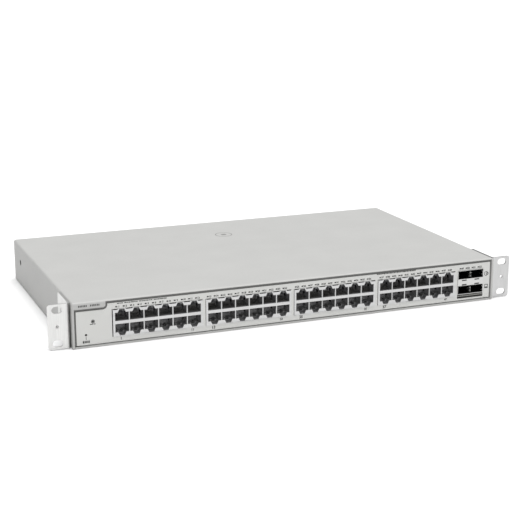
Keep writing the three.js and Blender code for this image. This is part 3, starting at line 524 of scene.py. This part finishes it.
def dress(node, material, edge=None, segments=2):
    """Gives a CAD node its material, smooth shading within a small angle, and rounded edges if asked."""
    obj = frame["nodes"][node]
    obj.data.materials.clear()
    obj.data.materials.append(material)
    smooth_by_angle(obj.data, 30)
    if edge:
        planar = obj.modifiers.new("planar", "DECIMATE")
        planar.decimate_type = "DISSOLVE"
        planar.angle_limit = math.radians(1)
        bevel(obj, edge, segments)


def dress_nodes():
    dress("top_cover", PAINT, 0.18 * MM)
    dress("base_tray", PAINT, 0.18 * MM)
    dress("front_panel", PANEL_PAINT)
    dress("rear_panel", PAINT)
    dress("ear_left", EAR_LEFT_LIT_COPY, 0.18 * MM)
    dress("ear_right", EAR_RIGHT_SHADED_COPY, 0.18 * MM)
    for i in range(1, JACK_BLOCKS + 1):
        dress(f"jack_shield_{i}", NICKEL, 0.08 * MM, 1)
        dress(f"jack_housing_{i}", JACK_PLASTIC_PAINTED_LIGHT)
        dress(f"jack_light_pipe_{i}", GUIDE, 0.1 * MM, 1)
        dress(f"module_connector_{i}", BLACK_PLASTIC, 0.12 * MM, 1)
    dress("module_cage", CAGE_NICKEL_PAINTED_SHADE, 0.06 * MM, 1)
    dress("module_light_pipe", GUIDE, 0.1 * MM, 1)
    dress("status_light_pipe", GUIDE, 0.1 * MM, 1)
    dress("reset_button", BLACK_PLASTIC, 0.15 * MM, 1)
    dress("reset_switch", BLACK_PLASTIC, 0.2 * MM, 1)
    dress("main_board", MASK)
    dress("psu_board", MASK)
    dress("psu_insulator", FILM)
    dress("switch_chip", BLACK_PLASTIC, 0.3 * MM)
    for name in ("switch_heatsink", "phy_heatsink", "psu_heatsink"):
        dress(name, ALUMINIUM, 0.15 * MM, 1)
    dress("psu_transformer", TAPE, 0.6 * MM)
    dress("psu_capacitor", BLACK_PLASTIC, 0.8 * MM)
    dress("mains_inlet", BLACK_PLASTIC, 0.35 * MM)
    for name in ("line", "earth", "neutral"):
        dress(f"inlet_pin_{name}", ZINC, 0.45 * MM, 3)
    for i in (1, 2):
        dress(f"fan_frame_{i}", BLACK_PLASTIC, 0.25 * MM, 1)


# ---- Fasteners ----------------------------------------------------------------------------------

# In millimetres: outline is (radius, height) pairs from the shank's tip to the head, dome and recess
# are (radius, height or depth), and face is the height of a flat head's face.
SCREWS = {
    "ear": {
        "outline": [(0, -6.4), (1.9, -6.4), (1.9, -1.3), (3.3, -0.25), (3.4, -0.06), (3.2, 0), (0, 0)],
        "recess": (1.9, 1.5),
    },
    "side": {
        "outline": [(0, -3.9), (1.4, -3.9), (1.4, -0.95), (2.8, -0.75), (2.95, -0.2)]
        + [(2.7, -0.05), (0, -0.05)],
        "recess": (1.7, 0.6),
        "face": -0.05,
    },
    "pan": {
        "outline": [(0, -6.7), (1.4, -6.7), (1.4, -1.8), (2.8, -1.8), (2.8, -1.1)],
        "dome": (2.75, 1.0),
        "recess": (1.3, 0.8),
    },
    "ground": {
        "outline": [(0, -8.3), (2.0, -8.3), (2.0, -2.4), (4.0, -2.4), (4.0, -1.6), (3.4, -1.5)],
        "dome": (3.3, 1.4),
        "recess": (1.7, 0.9),
    },
}
SCREW_SIDES = 32
DOME_STEPS = 6
BLADE_SHARE = 0.24  # half a recess blade's thickness, as a share of the recess's radius
BLADE_TAPER = 0.35  # the recess's radius at its bottom, as a share of its radius at the top


def in_metres(points):
    return [(a * MM, b * MM) for a, b in points]


def add_blade(bm, radius, depth, at, turn):
    """One tapered blade of a Phillips recess, in a head whose face is at height at."""
    half = BLADE_SHARE * radius
    tip = BLADE_TAPER * radius
    top = [(-radius, -half, at + 0.1 * MM), (radius, -half, at + 0.1 * MM)]
    outline = top + [(tip, -half, at - depth), (-tip, -half, at - depth)]
    add_outline(bm, [turn @ Vector(p) for p in outline], turn @ Vector((0, 2 * half, 0)))


def screw_mesh(name, screw):
    """A screw about Z with its head's outer face at or just below z = 0, pointing to +Z."""
    at = screw.get("face", 0) * MM
    profile = in_metres(screw["outline"])
    if "dome" in screw:
        radius, height = screw["dome"]
        profile += dome(radius * MM, height * MM, DOME_STEPS, -height * MM)
    recess, depth = screw["recess"]
    body = bmesh.new()
    add_lathe(body, profile, Matrix.Identity(4), SCREW_SIDES)
    for quarter in (0, 1):
        tool = bmesh.new()
        add_blade(tool, recess * MM, depth * MM, at, Matrix.Rotation(quarter * math.pi / 2, 4, "Z"))
        body = cut_mesh(body, tool)
    mesh = bpy.data.meshes.new(name)
    body.to_mesh(mesh)
    body.free()
    smooth_by_angle(mesh, 35)
    return mesh


def dome(radius, height, steps, base):
    """Profile points of a shallow dome from its rim to its crown."""
    return [
        (radius * math.cos(a), base + height * math.sin(a))
        for a in (math.radians(90 * i / steps) for i in range(1, steps))
    ] + [(0, base + height)]


def place_screw(node, mesh, material, direction):
    """Puts a screw mesh in place of a CAD screw, with its head's top towards direction."""
    lo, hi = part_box(node)
    middle = (lo + hi) / 2
    axis = Vector(direction)
    outer = Vector([hi[i] if axis[i] > 0 else lo[i] if axis[i] < 0 else middle[i] for i in range(3)])
    mesh = mesh.copy()
    mesh.materials.append(material)
    obj = bpy.data.objects.new(node + "_detail", mesh)
    obj.matrix_world = Matrix.Translation(outer) @ axis.to_track_quat("Z", "Y").to_matrix().to_4x4()
    bpy.context.scene.collection.objects.link(obj)
    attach(obj, BODY)
    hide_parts(node)


def make_screws():
    meshes = {kind: screw_mesh(f"{kind}_screw_mesh", screw) for kind, screw in SCREWS.items()}
    for side_name, sign in (("left", -1), ("right", 1)):
        for i in range(1, 5):
            place_screw(f"ear_screw_{side_name}_{i}", meshes["ear"], ZINC, (sign, 0, 0))
        place_screw(f"cover_side_screw_{side_name}", meshes["side"], BLACK_OXIDE, (sign, 0, 0))
    for i in range(1, 4):
        place_screw(f"cover_rear_screw_{i}", meshes["pan"], ZINC, (0, 1, 0))
    place_screw("ground_screw", meshes["ground"], ZINC, (0, 1, 0))
    for mesh in meshes.values():
        bpy.data.meshes.remove(mesh)


# ---- Jacks --------------------------------------------------------------------------------------

CONTACTS = 8
CONTACT_PITCH = 1.02 * MM
CONTACT_W = 0.4 * MM
CONTACT_T = 0.22 * MM
# (depth, rise) along a contact wire, in millimetres
CONTACT_RISE = ((2.2, 0.25), (3.2, 0.5), (4.4, 1.3), (7.0, 2.4), (9.6, 3.4), (11.2, 3.7), (12.8, 3.7))
COMB = {"height": 4.6 * MM, "depth": 3.2 * MM, "play": 0.02 * MM, "gap": 0.05 * MM}
WALL_SLOT = {"middle": 3.9 * MM, "half": 1.2 * MM, "start": 8.4 * MM, "end": 12.6 * MM}
WALL_SLOT_OFF = {"near": 0.02 * MM, "far": 0.06 * MM}  # its two faces, from the wall
LATCH_CHANNEL = {"half": 1.77 * MM, "height": 1.57 * MM, "start": 4.6 * MM, "end": 5.0 * MM}
# The painted shade sheets in the gap round each jack block:
GAP_SHADE_T = 0.05 * MM
GAP_SHADE_START = 0.35 * MM  # behind the shield's face
GAP_SHADE_END = 12 * MM
GAP_SHADE_PLAY = 0.01 * MM  # GAP_SHADE_PLAY = 0.01 * MM # between the painted shade sheet and the shield


def each_jack(block):
    """(x, z of the edge by the middle bar, +1 for the upper row or -1 for the lower) of each jack."""
    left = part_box(f"jack_shield_{block}")[0].x
    for column in range(JACK_COLUMNS):
        x = left + JACK_FIRST + column * JACK_PITCH
        for flip in (1, -1):
            yield x, JACK_MIDDLE + flip * JACK_CAVITY_RISE, flip


def contact_path(z, flip):
    """A contact wire, rising from the bar's side near the mouth to the comb at the back."""
    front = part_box("jack_housing_1")[0].y
    return [Vector((0, front + depth * MM, z + flip * rise * MM)) for depth, rise in CONTACT_RISE]


def add_contacts(bm, x, z, flip):
    """The eight wires of one jack."""
    first = x - (CONTACTS - 1) / 2 * CONTACT_PITCH - CONTACT_W / 2
    for i in range(CONTACTS):
        shift = Vector((first + i * CONTACT_PITCH, 0, 0))
        add_strip(bm, [p + shift for p in contact_path(z, flip)], CONTACT_T, CONTACT_W)


def add_comb(bm, x, z, flip, back):
    """The ribs either side of each wire, at the back of one jack."""
    first = x - CONTACTS / 2 * CONTACT_PITCH - CONTACT_W / 2
    low, high = sorted((z + flip * COMB["play"], z + flip * COMB["height"]))
    for i in range(CONTACTS + 1):
        left = first + i * CONTACT_PITCH
        add_box(bm, (left, back - COMB["depth"], low), (left + CONTACT_W, back - COMB["gap"], high))


def make_jack_details():
    for block in range(1, JACK_BLOCKS + 1):
        wires = bmesh.new()
        combs = bmesh.new()
        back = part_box(f"jack_housing_{block}")[0].y + JACK_CAVITY_DEPTH
        for x, z, flip in each_jack(block):
            add_contacts(wires, x, z, flip)
            add_comb(combs, x, z, flip, back)
        piece(f"jack_contacts_{block}", wires, GOLD_IN_PAINTED_SHADE)
        piece(f"jack_combs_{block}", combs, JACK_PLASTIC_PAINTED_LIGHT)


def add_wall_slot(bm, x, z, flip, front):
    wall = x + JACK_CAVITY_HALF_W
    middle = z + flip * WALL_SLOT["middle"]
    lo = (wall - WALL_SLOT_OFF["far"], front + WALL_SLOT["start"], middle - WALL_SLOT["half"])
    hi = (wall - WALL_SLOT_OFF["near"], front + WALL_SLOT["end"], middle + WALL_SLOT["half"])
    add_box(bm, lo, hi)


def add_channel_end(bm, x, z, flip, front):
    floor = z + flip * JACK_CAVITY_H
    low, high = sorted((floor + flip * 0.02 * MM, floor + flip * LATCH_CHANNEL["height"]))
    half = LATCH_CHANNEL["half"]
    start = front + LATCH_CHANNEL["start"]
    end = front + LATCH_CHANNEL["end"]
    add_box(bm, (x - half, start, low), (x + half, end, high))


def make_jack_slots():
    """Black plates as painted shade in each jack: on its right wall near the back and in its latch
    channel.
    """
    bm = bmesh.new()
    for block in range(1, JACK_BLOCKS + 1):
        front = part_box(f"jack_housing_{block}")[0].y
        for x, z, flip in each_jack(block):
            add_wall_slot(bm, x, z, flip, front)
            add_channel_end(bm, x, z, flip, front)
    piece("jack_slot_painted_shade", bm, PAINTED_SHADE_BLACK)


def make_jack_tapes():
    """Thin black sheets as painted shade, in the gap above and left of each jack block, set back behind
    its face.
    """
    bm = bmesh.new()
    for block in range(1, JACK_BLOCKS + 1):
        lo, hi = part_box(f"jack_shield_{block}")
        start = lo.y + GAP_SHADE_START
        end = lo.y + GAP_SHADE_END
        add_box(bm, (lo.x, start, hi.z + GAP_SHADE_PLAY), (hi.x, end, hi.z + GAP_SHADE_T))
        add_box(bm, (lo.x - GAP_SHADE_T, start, lo.z), (lo.x - GAP_SHADE_PLAY, end, hi.z))
    piece("jack_gap_painted_shade", bm, PAINTED_SHADE_BLACK)


# ---- Module cage --------------------------------------------------------------------------------

CAGE_WALL = 0.4 * MM
CAGE_CELL_W = 14.1 * MM
# heights of each row's floor and roof, and of the latch slot beside it in the bar between the rows
CAGE_ROWS = (
    {"floor": 9.2 * MM, "roof": 17.7 * MM, "latch": (18.13 * MM, 19.37 * MM)},
    {"floor": 24.8 * MM, "roof": 33.4 * MM, "latch": (22.83 * MM, 23.97 * MM)},
)
# a spring's bow as (depth, distance from the sheet) in millimetres
ROOF_SPRING = ((0.4, 0.12), (1.6, 0.75), (3.0, 0.95), (5.0, 0.5), (7.0, 0.14))
WALL_SPRING = ((0.4, 0.1), (1.6, 0.65), (3.0, 0.8), (5.0, 0.45), (7.0, 0.1))
SPRING_T = 0.12 * MM
SPRING_W = 2.0 * MM
ROOF_SPRING_FIRST = 2.2 * MM
ROOF_SPRING_PITCH = 3.6 * MM
WALL_SPRING_RISES = (1.6 * MM, 4.8 * MM)
LATCH = {"half": 2.77 * MM, "start": 0.4 * MM, "end": 0.9 * MM}
# the gasket fingers' bow as shares of the gasket's depth and height
GASKET_BOW = ((1, 1), (0.55, 0.94), (0.16, 0.8), (0.02, 0.62))
GASKET_BOW += ((0.06, 0.44), (0.3, 0.24), (0.62, 0.1), (0.9, 0.04))
GASKET_FINGERS = 11
FINGER_SHARE = 0.88  # a finger's width as a share of the pitch


def cage_cells():
    """(left, right, row) of each of the cage's four cells."""
    lo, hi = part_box("module_cage")
    for row in CAGE_ROWS:
        yield lo.x + CAGE_WALL, lo.x + CAGE_WALL + CAGE_CELL_W, row
        yield hi.x - CAGE_WALL - CAGE_CELL_W, hi.x - CAGE_WALL, row


def add_roof_springs(bm, left, front, roof):
    for i in range(3):
        x = left + ROOF_SPRING_FIRST + i * ROOF_SPRING_PITCH
        path = [Vector((x, front + depth * MM, roof - bow * MM)) for depth, bow in ROOF_SPRING]
        add_strip(bm, path, SPRING_T, SPRING_W)


def add_wall_springs(bm, wall, inward, front, floor):
    points = [(wall + inward * bow * MM, front + depth * MM) for depth, bow in WALL_SPRING]
    outline = points + [(x + inward * SPRING_T, y) for x, y in reversed(points)]
    for rise in WALL_SPRING_RISES:
        add_outline(bm, [(x, y, floor + rise) for x, y in outline], (0, 0, SPRING_W))


def make_cage_springs():
    """Bowed contact springs inside the mouth of each cell, on its side walls and its roof."""
    bm = bmesh.new()
    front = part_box("module_cage")[0].y
    for left, right, row in cage_cells():
        add_roof_springs(bm, left, front, row["roof"])
        add_wall_springs(bm, left, 1, front, row["floor"])
        add_wall_springs(bm, right, -1, front, row["floor"])
    piece("cage_springs", bm, SPRING_METAL)


def make_cage_latches():
    """Black plates as painted shade just inside the latch slots in the bar between the rows."""
    bm = bmesh.new()
    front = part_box("module_cage")[0].y
    start = front + LATCH["start"]
    end = front + LATCH["end"]
    half = LATCH["half"]
    for left, right, row in cage_cells():
        middle = (left + right) / 2
        low, high = row["latch"]
        add_box(bm, (middle - half, start, low), (middle + half, end, high))
    piece("cage_latch_painted_shade", bm, PAINTED_SHADE_BLACK)


def make_gasket():
    """A strip of bowed spring fingers below the cage."""
    lo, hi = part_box("cage_gasket")
    bm = bmesh.new()
    pitch = (hi.x - lo.x) / GASKET_FINGERS
    front = lo.y + 0.12 * MM
    reach = hi.y - lo.y - 0.3 * MM
    height = hi.z - lo.z
    for i in range(GASKET_FINGERS):
        x = lo.x + (i + (1 - FINGER_SHARE) / 2) * pitch
        path = [Vector((x, front + d * reach, lo.z + h * height)) for d, h in GASKET_BOW]
        add_strip(bm, path, 0.14 * MM, FINGER_SHARE * pitch)
    add_box(bm, (lo.x, hi.y - 0.35 * MM, lo.z + 0.1 * MM), (hi.x, hi.y - 0.05 * MM, hi.z))
    piece("cage_gasket_fingers", bm, GASKET_METAL, replaces=["cage_gasket"])


# ---- Printing -----------------------------------------------------------------------------------

INK_T = 0.03 * MM
INK_GAP = 0.001 * MM  # between the ink and the face that it's on
NUMBER_WEIGHT = 0.06  # how far each stroke is thickened, as a share of the height
DIGIT_SHARE = 0.69  # a digit's height in the built-in font, as a share of the font's size
PORT_NUMBER_H = 1.7 * MM
MODULE_NUMBER_H = 1.9 * MM
# the numbers below each block, and how far left of its first or last jack they stand
FIRST_NUMBER = {"left": 1.2 * MM, "z": 5.3 * MM, "height": 2.6 * MM}
LAST_NUMBER = {"left": 1.8 * MM, "z": 5.5 * MM, "height": 2.1 * MM}
SYMBOL_X = 212.5 * MM
STATUS_Z = 24.4 * MM
RESET_X = -207.4 * MM
GROOVE_PLAY = 0.05 * MM
# bars that stand for words, in millimetres
WORD = (2.1, 1.2, 1.6, 0.9)
WORD_GAP = 0.35
BADGE_Z = 39.9
BADGE_H = 1.8
TOP_BADGE = {"x": -0.6 * MM, "back": 201.5 * MM, "steps": 48}
TOP_BADGE_RINGS = ((9.5 * MM, 1.1 * MM), (3.2 * MM, 3.19 * MM))  # (radius, width of its line)


def add_number(bm, text, x, z, height):
    """A number printed on the panel, centred at (x, z)."""
    curve = bpy.data.curves.new("number", "FONT")
    curve.body = text
    curve.size = height / DIGIT_SHARE
    curve.align_x = "CENTER"
    curve.resolution_u = 3
    curve.offset = NUMBER_WEIGHT * height
    curve.extrude = INK_T / 2
    obj = bpy.data.objects.new("number", curve)
    bpy.context.scene.collection.objects.link(obj)
    bpy.context.view_layer.update()
    mesh = bpy.data.meshes.new_from_object(obj.evaluated_get(bpy.context.evaluated_depsgraph_get()))
    turn = Matrix.Rotation(math.pi / 2, 4, "X")
    mesh.transform(Matrix.Translation((x, PANEL_FACE - INK_T / 2, z - height / 2)) @ turn)
    bm.from_mesh(mesh)
    bpy.data.objects.remove(obj)
    bpy.data.curves.remove(curve)
    bpy.data.meshes.remove(mesh)


def add_mark(bm, x0, x1, z0, z1, face=PANEL_FACE):
    add_box(bm, (x0, face - INK_T, z0), (x1, face - INK_GAP, z1))


def on_front(face):
    """Places a drawn (x, z) point at a height off an upright face that looks out of the front."""
    return lambda point, height: (point[0], face - height, point[1])


def on_top(point, height):
    """Places a drawn (x, y) point at a height off the top."""
    return (point[0], point[1], TOP + height)


def add_loop(bm, outline, inner, place=on_front(PANEL_FACE)):
    """A printed closed line between two outlines with the same number of points."""
    rings = []
    for height in (INK_T, INK_GAP):
        for points in (outline, inner):
            rings.append([bm.verts.new(place(point, height)) for point in points])
    outer_front, inner_front, outer_back, inner_back = rings
    count = len(outline)
    for i in range(count):
        j = (i + 1) % count
        bm.faces.new((outer_front[i], outer_front[j], inner_front[j], inner_front[i]))
        bm.faces.new((outer_back[j], outer_back[i], inner_back[i], inner_back[j]))
        bm.faces.new((outer_front[j], outer_front[i], outer_back[i], outer_back[j]))
        bm.faces.new((inner_front[i], inner_front[j], inner_back[j], inner_back[i]))


def add_circle_line(bm, centre, radius, line, steps=28, place=on_front(PANEL_FACE)):
    """A printed circle, line wide inside its radius."""
    add_loop(bm, ring_outline(centre, radius, steps), ring_outline(centre, radius - line, steps), place)


def square(x, z, half):
    return [(x - half, z - half), (x + half, z - half), (x + half, z + half), (x - half, z + half)]


def stepped_outline(left, bottom, top, corner, radius):
    """A rectangle the same each side of x = 0, less its top left corner, which turns in by an arc."""
    centre = (corner[0] - radius, corner[1] + radius)
    right_part = [(left, bottom), (-left, bottom), (-left, top), (corner[0], top)]
    return right_part + arc(centre, radius, 0, -90, 6) + [(left, corner[1])]


def make_groove_floor():
    """A dark strip as painted shade, down in the groove between the cover's opening and the panel."""
    play = GROOVE_PLAY
    x, z, radius = TAB_CORNER["x"], TAB_CORNER["z"], TAB_CORNER["radius"]
    opening = stepped_outline(
        COVER_LO.x + OPENING["side"] + play,
        OPENING["bottom"] + play,
        OPENING["top"] - play,
        (x + play, z - play),
        radius + play,
    )
    panel = stepped_outline(
        PANEL_LO.x - play,
        PANEL_LO.z - play,
        PANEL_HI.z + play,
        (x + GROOVE_SIDE - play, z - GROOVE_TAB + play),
        radius + GROOVE_SIDE - play,
    )
    bm = bmesh.new()
    add_loop(bm, opening, panel, on_front(FRONT + GROOVE_DEPTH))
    piece("groove_painted_shade", bm, GROOVE_PAINTED_SHADE, smooth=20)


def add_block_number(bm, number, x, style):
    add_number(bm, str(number), x - style["left"], style["z"], style["height"])


def make_port_numbers():
    """A small number right of each port's indicator, and one at each end of a block below its jacks."""
    bm = bmesh.new()
    dark = bmesh.new()
    per_block = 2 * JACK_COLUMNS
    for block in range(JACK_BLOCKS):
        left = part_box(f"jack_shield_{block + 1}")[0].x
        before = block * per_block
        for i in range(per_block):
            x = left + LED_FIRST[block] + i * LED_PITCH + LED_NUMBER
            add_number(bm, str(before + i + 1), x, LED_HEIGHT, PORT_NUMBER_H)
        first = left + JACK_FIRST
        last = first + (JACK_COLUMNS - 1) * JACK_PITCH
        add_block_number(dark, before + 1, first, FIRST_NUMBER)
        add_block_number(dark, before + per_block - 1, last, LAST_NUMBER)
    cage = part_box("module_cage")[0].x
    for i in range(4):
        x = cage + MODULE_LED_FIRST + i * LED_PITCH + LED_NUMBER
        add_number(bm, str(JACK_BLOCKS * per_block + i + 1), x, LED_HEIGHT, MODULE_NUMBER_H)
    piece("port_numbers", bm, INK, smooth=20)
    piece("block_numbers", dark, INK, smooth=20)


def add_bars(bm, x, z, height, widths, gap, face=PANEL_FACE):
    """Bars side by side from x on, where a maker would print a word. All but face is in millimetres."""
    for width in widths:
        add_mark(bm, x * MM, (x + width) * MM, (z - height / 2) * MM, (z + height / 2) * MM, face)
        x += width + gap


def add_module_signs(bm):
    """A pair of rings, and a square with a bar in its foot, right of the cage."""
    add_circle_line(bm, (SYMBOL_X - 0.5 * MM, 28 * MM), 2.3 * MM, 0.6 * MM)
    add_circle_line(bm, (SYMBOL_X + 0.9 * MM, 28 * MM), 1.4 * MM, 0.7 * MM)
    add_loop(bm, square(SYMBOL_X, 14.6 * MM, 2.1 * MM), square(SYMBOL_X, 14.6 * MM, 1.5 * MM))
    add_mark(bm, SYMBOL_X - 1.2 * MM, SYMBOL_X + 1.2 * MM, 13.0 * MM, 14.1 * MM)


def add_status_sign(bm):
    """A ring round the status light with a line of bars below it."""
    lo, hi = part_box("status_light_pipe")
    add_circle_line(bm, ((lo.x + hi.x) / 2, STATUS_Z), 1.75 * MM, 0.5 * MM)
    add_bars(bm, -203.4, 21.9, 0.7, (3.0, 1.8), 0.4)


def add_reset_sign(bm):
    """A pointer and a row of bars below the reset hole."""
    add_mark(bm, RESET_X - 0.25 * MM, RESET_X + 0.25 * MM, 7.6 * MM, 10.4 * MM)
    add_bars(bm, -210.6, 5.6, 2.3, (1.3, 1.0, 0.8, 1.0, 0.8), 0.4)


def make_symbols():
    bm = bmesh.new()
    add_module_signs(bm)
    add_status_sign(bm)
    add_reset_sign(bm)
    piece("panel_symbols", bm, INK, smooth=20)


def make_legends():
    """Rows of short bars where a maker would print words."""
    bm = bmesh.new()
    for i in range(7):
        add_bars(bm, -177.5 + i * 7.0, 39.0, 0.9, WORD if i % 2 else WORD[:3], WORD_GAP)
    for i in range(6):
        add_bars(bm, 87.0 + i * 7.3, 39.5, 1.0, WORD, WORD_GAP)
    tab = bmesh.new()
    add_bars(tab, -213.8, BADGE_Z, BADGE_H, (1.1, 0.8, 1.0, 0.7, 1.0, 0.8), 0.5, FRONT)
    add_bars(tab, -202.8, BADGE_Z, BADGE_H, (1.0, 0.9, 1.1, 0.8, 1.0, 0.9), 0.6, FRONT)
    piece("panel_legends", bm, LEGEND_INK, smooth=20)
    piece("badge_bars", tab, LEGEND_INK, smooth=20)


def make_top_badge():
    """A plain ring with a dot, printed near the back of the top."""
    bm = bmesh.new()
    centre = (TOP_BADGE["x"], FRONT + TOP_BADGE["back"])
    for radius, line in TOP_BADGE_RINGS:
        add_circle_line(bm, centre, radius, line, TOP_BADGE["steps"], on_top)
    piece("top_badge", bm, PALE_INK, smooth=20)


# ---- Fans ---------------------------------------------------------------------------------------

FAN_BLADES = 7
FAN_HUB_R = 8.5 * MM
FAN_TIP_R = 18.1 * MM
FAN_HUB_D = 14.4 * MM
# the hub's cup, then its shaft, as (radius, depth) in millimetres
FAN_HUB = [(0, 0), (7.2, 0), (8.1, 0.35), (8.5, 1.2), (8.5, 14.2), (7.9, 14.4)]
FAN_HUB += [(1.5, 14.4), (1.5, 17.3), (0, 17.3)]
BLADE_T = 0.55 * MM
BLADE_START = 1.5 * MM  # from the hub's front to the blades
BLADE_END = 1.0 * MM  # from the blades to the hub's rear
BLADE_ROWS = 5
BLADE_COLUMNS = 8
BLADE_ROOT = 0.3 * MM  # how far a blade reaches into the hub


def blade_point(radius, chord, y0, y1, start):
    """A point on a blade's camber surface: chord from 0 at the inlet edge to 1 at the outlet edge."""
    span = (radius - FAN_HUB_R) / (FAN_TIP_R - FAN_HUB_R)
    sweep = math.radians(44 - 8 * span) * chord + math.radians(10) * span * span
    angle = start + sweep
    y = y0 + (y1 - y0) * (0.62 * chord + 0.38 * chord * chord)
    return Vector((radius * math.cos(angle), y, radius * math.sin(angle)))


def blade_side(bm, side, y0, y1, start, centre):
    """The vertices of one side of a blade, in rows from the hub out and columns along the chord."""
    reach = FAN_TIP_R - FAN_HUB_R + BLADE_ROOT
    grid = []
    for i in range(BLADE_ROWS + 1):
        radius = FAN_HUB_R - BLADE_ROOT + reach * i / BLADE_ROWS
        line = []
        for j in range(BLADE_COLUMNS + 1):
            chord = j / BLADE_COLUMNS
            swell = side * BLADE_T * (0.25 + 0.75 * math.sin(math.pi * (0.5 + 0.5 * chord)))
            point = blade_point(radius, chord, y0, y1, start)
            line.append(bm.verts.new(point + Vector((centre.x, swell, centre.z))))
        grid.append(line)
    return grid


def close_blade(bm, under, over):
    """The faces of a blade's two sides and of its four edges."""
    for i in range(BLADE_ROWS):
        for j in range(BLADE_COLUMNS):
            bm.faces.new((under[i][j], under[i][j + 1], under[i + 1][j + 1], under[i + 1][j]))
            bm.faces.new((over[i][j], over[i + 1][j], over[i + 1][j + 1], over[i][j + 1]))
    for i in range(BLADE_ROWS):
        for j in (0, BLADE_COLUMNS):
            bm.faces.new((under[i][j], over[i][j], over[i + 1][j], under[i + 1][j]))
    for j in range(BLADE_COLUMNS):
        for i in (0, BLADE_ROWS):
            bm.faces.new((under[i][j], over[i][j], over[i][j + 1], under[i][j + 1]))


def fan_centre(index):
    """The point (x, 0, z) on a fan's axis."""
    joint = next(j for j in frame["joints"] if j["name"] == f"fan_{index}_spin")
    return Vector((joint["pos_m"][0], 0, joint["pos_m"][2]))


def make_rotor(index):
    node = f"fan_rotor_{index}"
    centre = fan_centre(index)
    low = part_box(node)[0].y
    front = low + 0.1 * MM
    bm = bmesh.new()
    turn = Matrix.Translation((centre.x, front, centre.z)) @ Matrix.Rotation(-math.pi / 2, 4, "X")
    add_lathe(bm, in_metres(FAN_HUB), turn, 40)
    y0 = front + BLADE_START
    y1 = low + FAN_HUB_D - BLADE_END
    for blade in range(FAN_BLADES):
        start = 2 * math.pi * blade / FAN_BLADES
        under, over = (blade_side(bm, side, y0, y1, start, centre) for side in (-1, 1))
        close_blade(bm, under, over)
    piece(
        f"{node}_detail",
        bm,
        BLACK_PLASTIC,
        body=f"fan_{index}",
        replaces=[node],
        smooth=40,
    )


# ---- Board parts --------------------------------------------------------------------------------

# (x, y behind the front) of parts on the main board, in millimetres
CHIPS = ((-60, 98), (-46, 98), (52, 98), (66, 98), (-110, 124), (150, 92))
CHIP_SIZE = Vector((11, 13, 1.2)) * MM
MAGNETICS = {"size": Vector((24, 13, 5.5)) * MM, "first": 3 * MM, "pitch": 28 * MM, "back": 34 * MM}
CAPACITORS = ((-150, 104), (-138, 104), (-126, 104), (128, 104), (138, 104))
CAPACITORS += ((148, 120), (40, 140), (52, 140))
# a capacitor's outline as (radius, height)
CAPACITOR = [(0, 0), (3.9, 0), (3.9, 1.0), (3.6, 1.2), (3.6, 8.2), (3.3, 8.6), (0, 8.6)]
BOARD_PLAY = 0.02 * MM


def make_chips(top):
    """Magnetics behind the jacks, and chips, whose corners are at the places in CHIPS."""
    bm = bmesh.new()
    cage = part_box("module_cage")[0].x
    for block in range(1, JACK_BLOCKS + 1):
        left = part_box(f"jack_shield_{block}")[0].x
        for i in range(3):
            x = left + MAGNETICS["first"] + i * MAGNETICS["pitch"]
            corner = Vector((x, FRONT + MAGNETICS["back"], top))
            if x + 25 * MM < cage - 3 * MM:
                add_box(bm, corner, corner + MAGNETICS["size"])
    for x, y in CHIPS:
        corner = Vector((x * MM, FRONT + y * MM, top))
        add_box(bm, corner, corner + CHIP_SIZE)
    obj = piece("board_chips", bm, BLACK_PLASTIC)
    bevel(obj, 0.25 * MM)


def make_capacitors(top):
    bm = bmesh.new()
    for x, y in CAPACITORS:
        place = Matrix.Translation((x * MM, FRONT + y * MM, top))
        add_lathe(bm, in_metres(CAPACITOR), place, 24)
    piece("board_capacitors", bm, ALUMINIUM)


def make_board_parts():
    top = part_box("main_board")[1].z + BOARD_PLAY
    make_chips(top)
    make_capacitors(top)


# ---- Build --------------------------------------------------------------------------------------

make_camera()
make_light()
make_floor()
dress_nodes()
make_screws()
make_jack_details()
make_jack_slots()
make_jack_tapes()
make_cage_springs()
make_cage_latches()
make_gasket()
make_groove_floor()
make_port_numbers()
make_symbols()
make_legends()
make_top_badge()
for fan in (1, 2):
    make_rotor(fan)
make_board_parts()
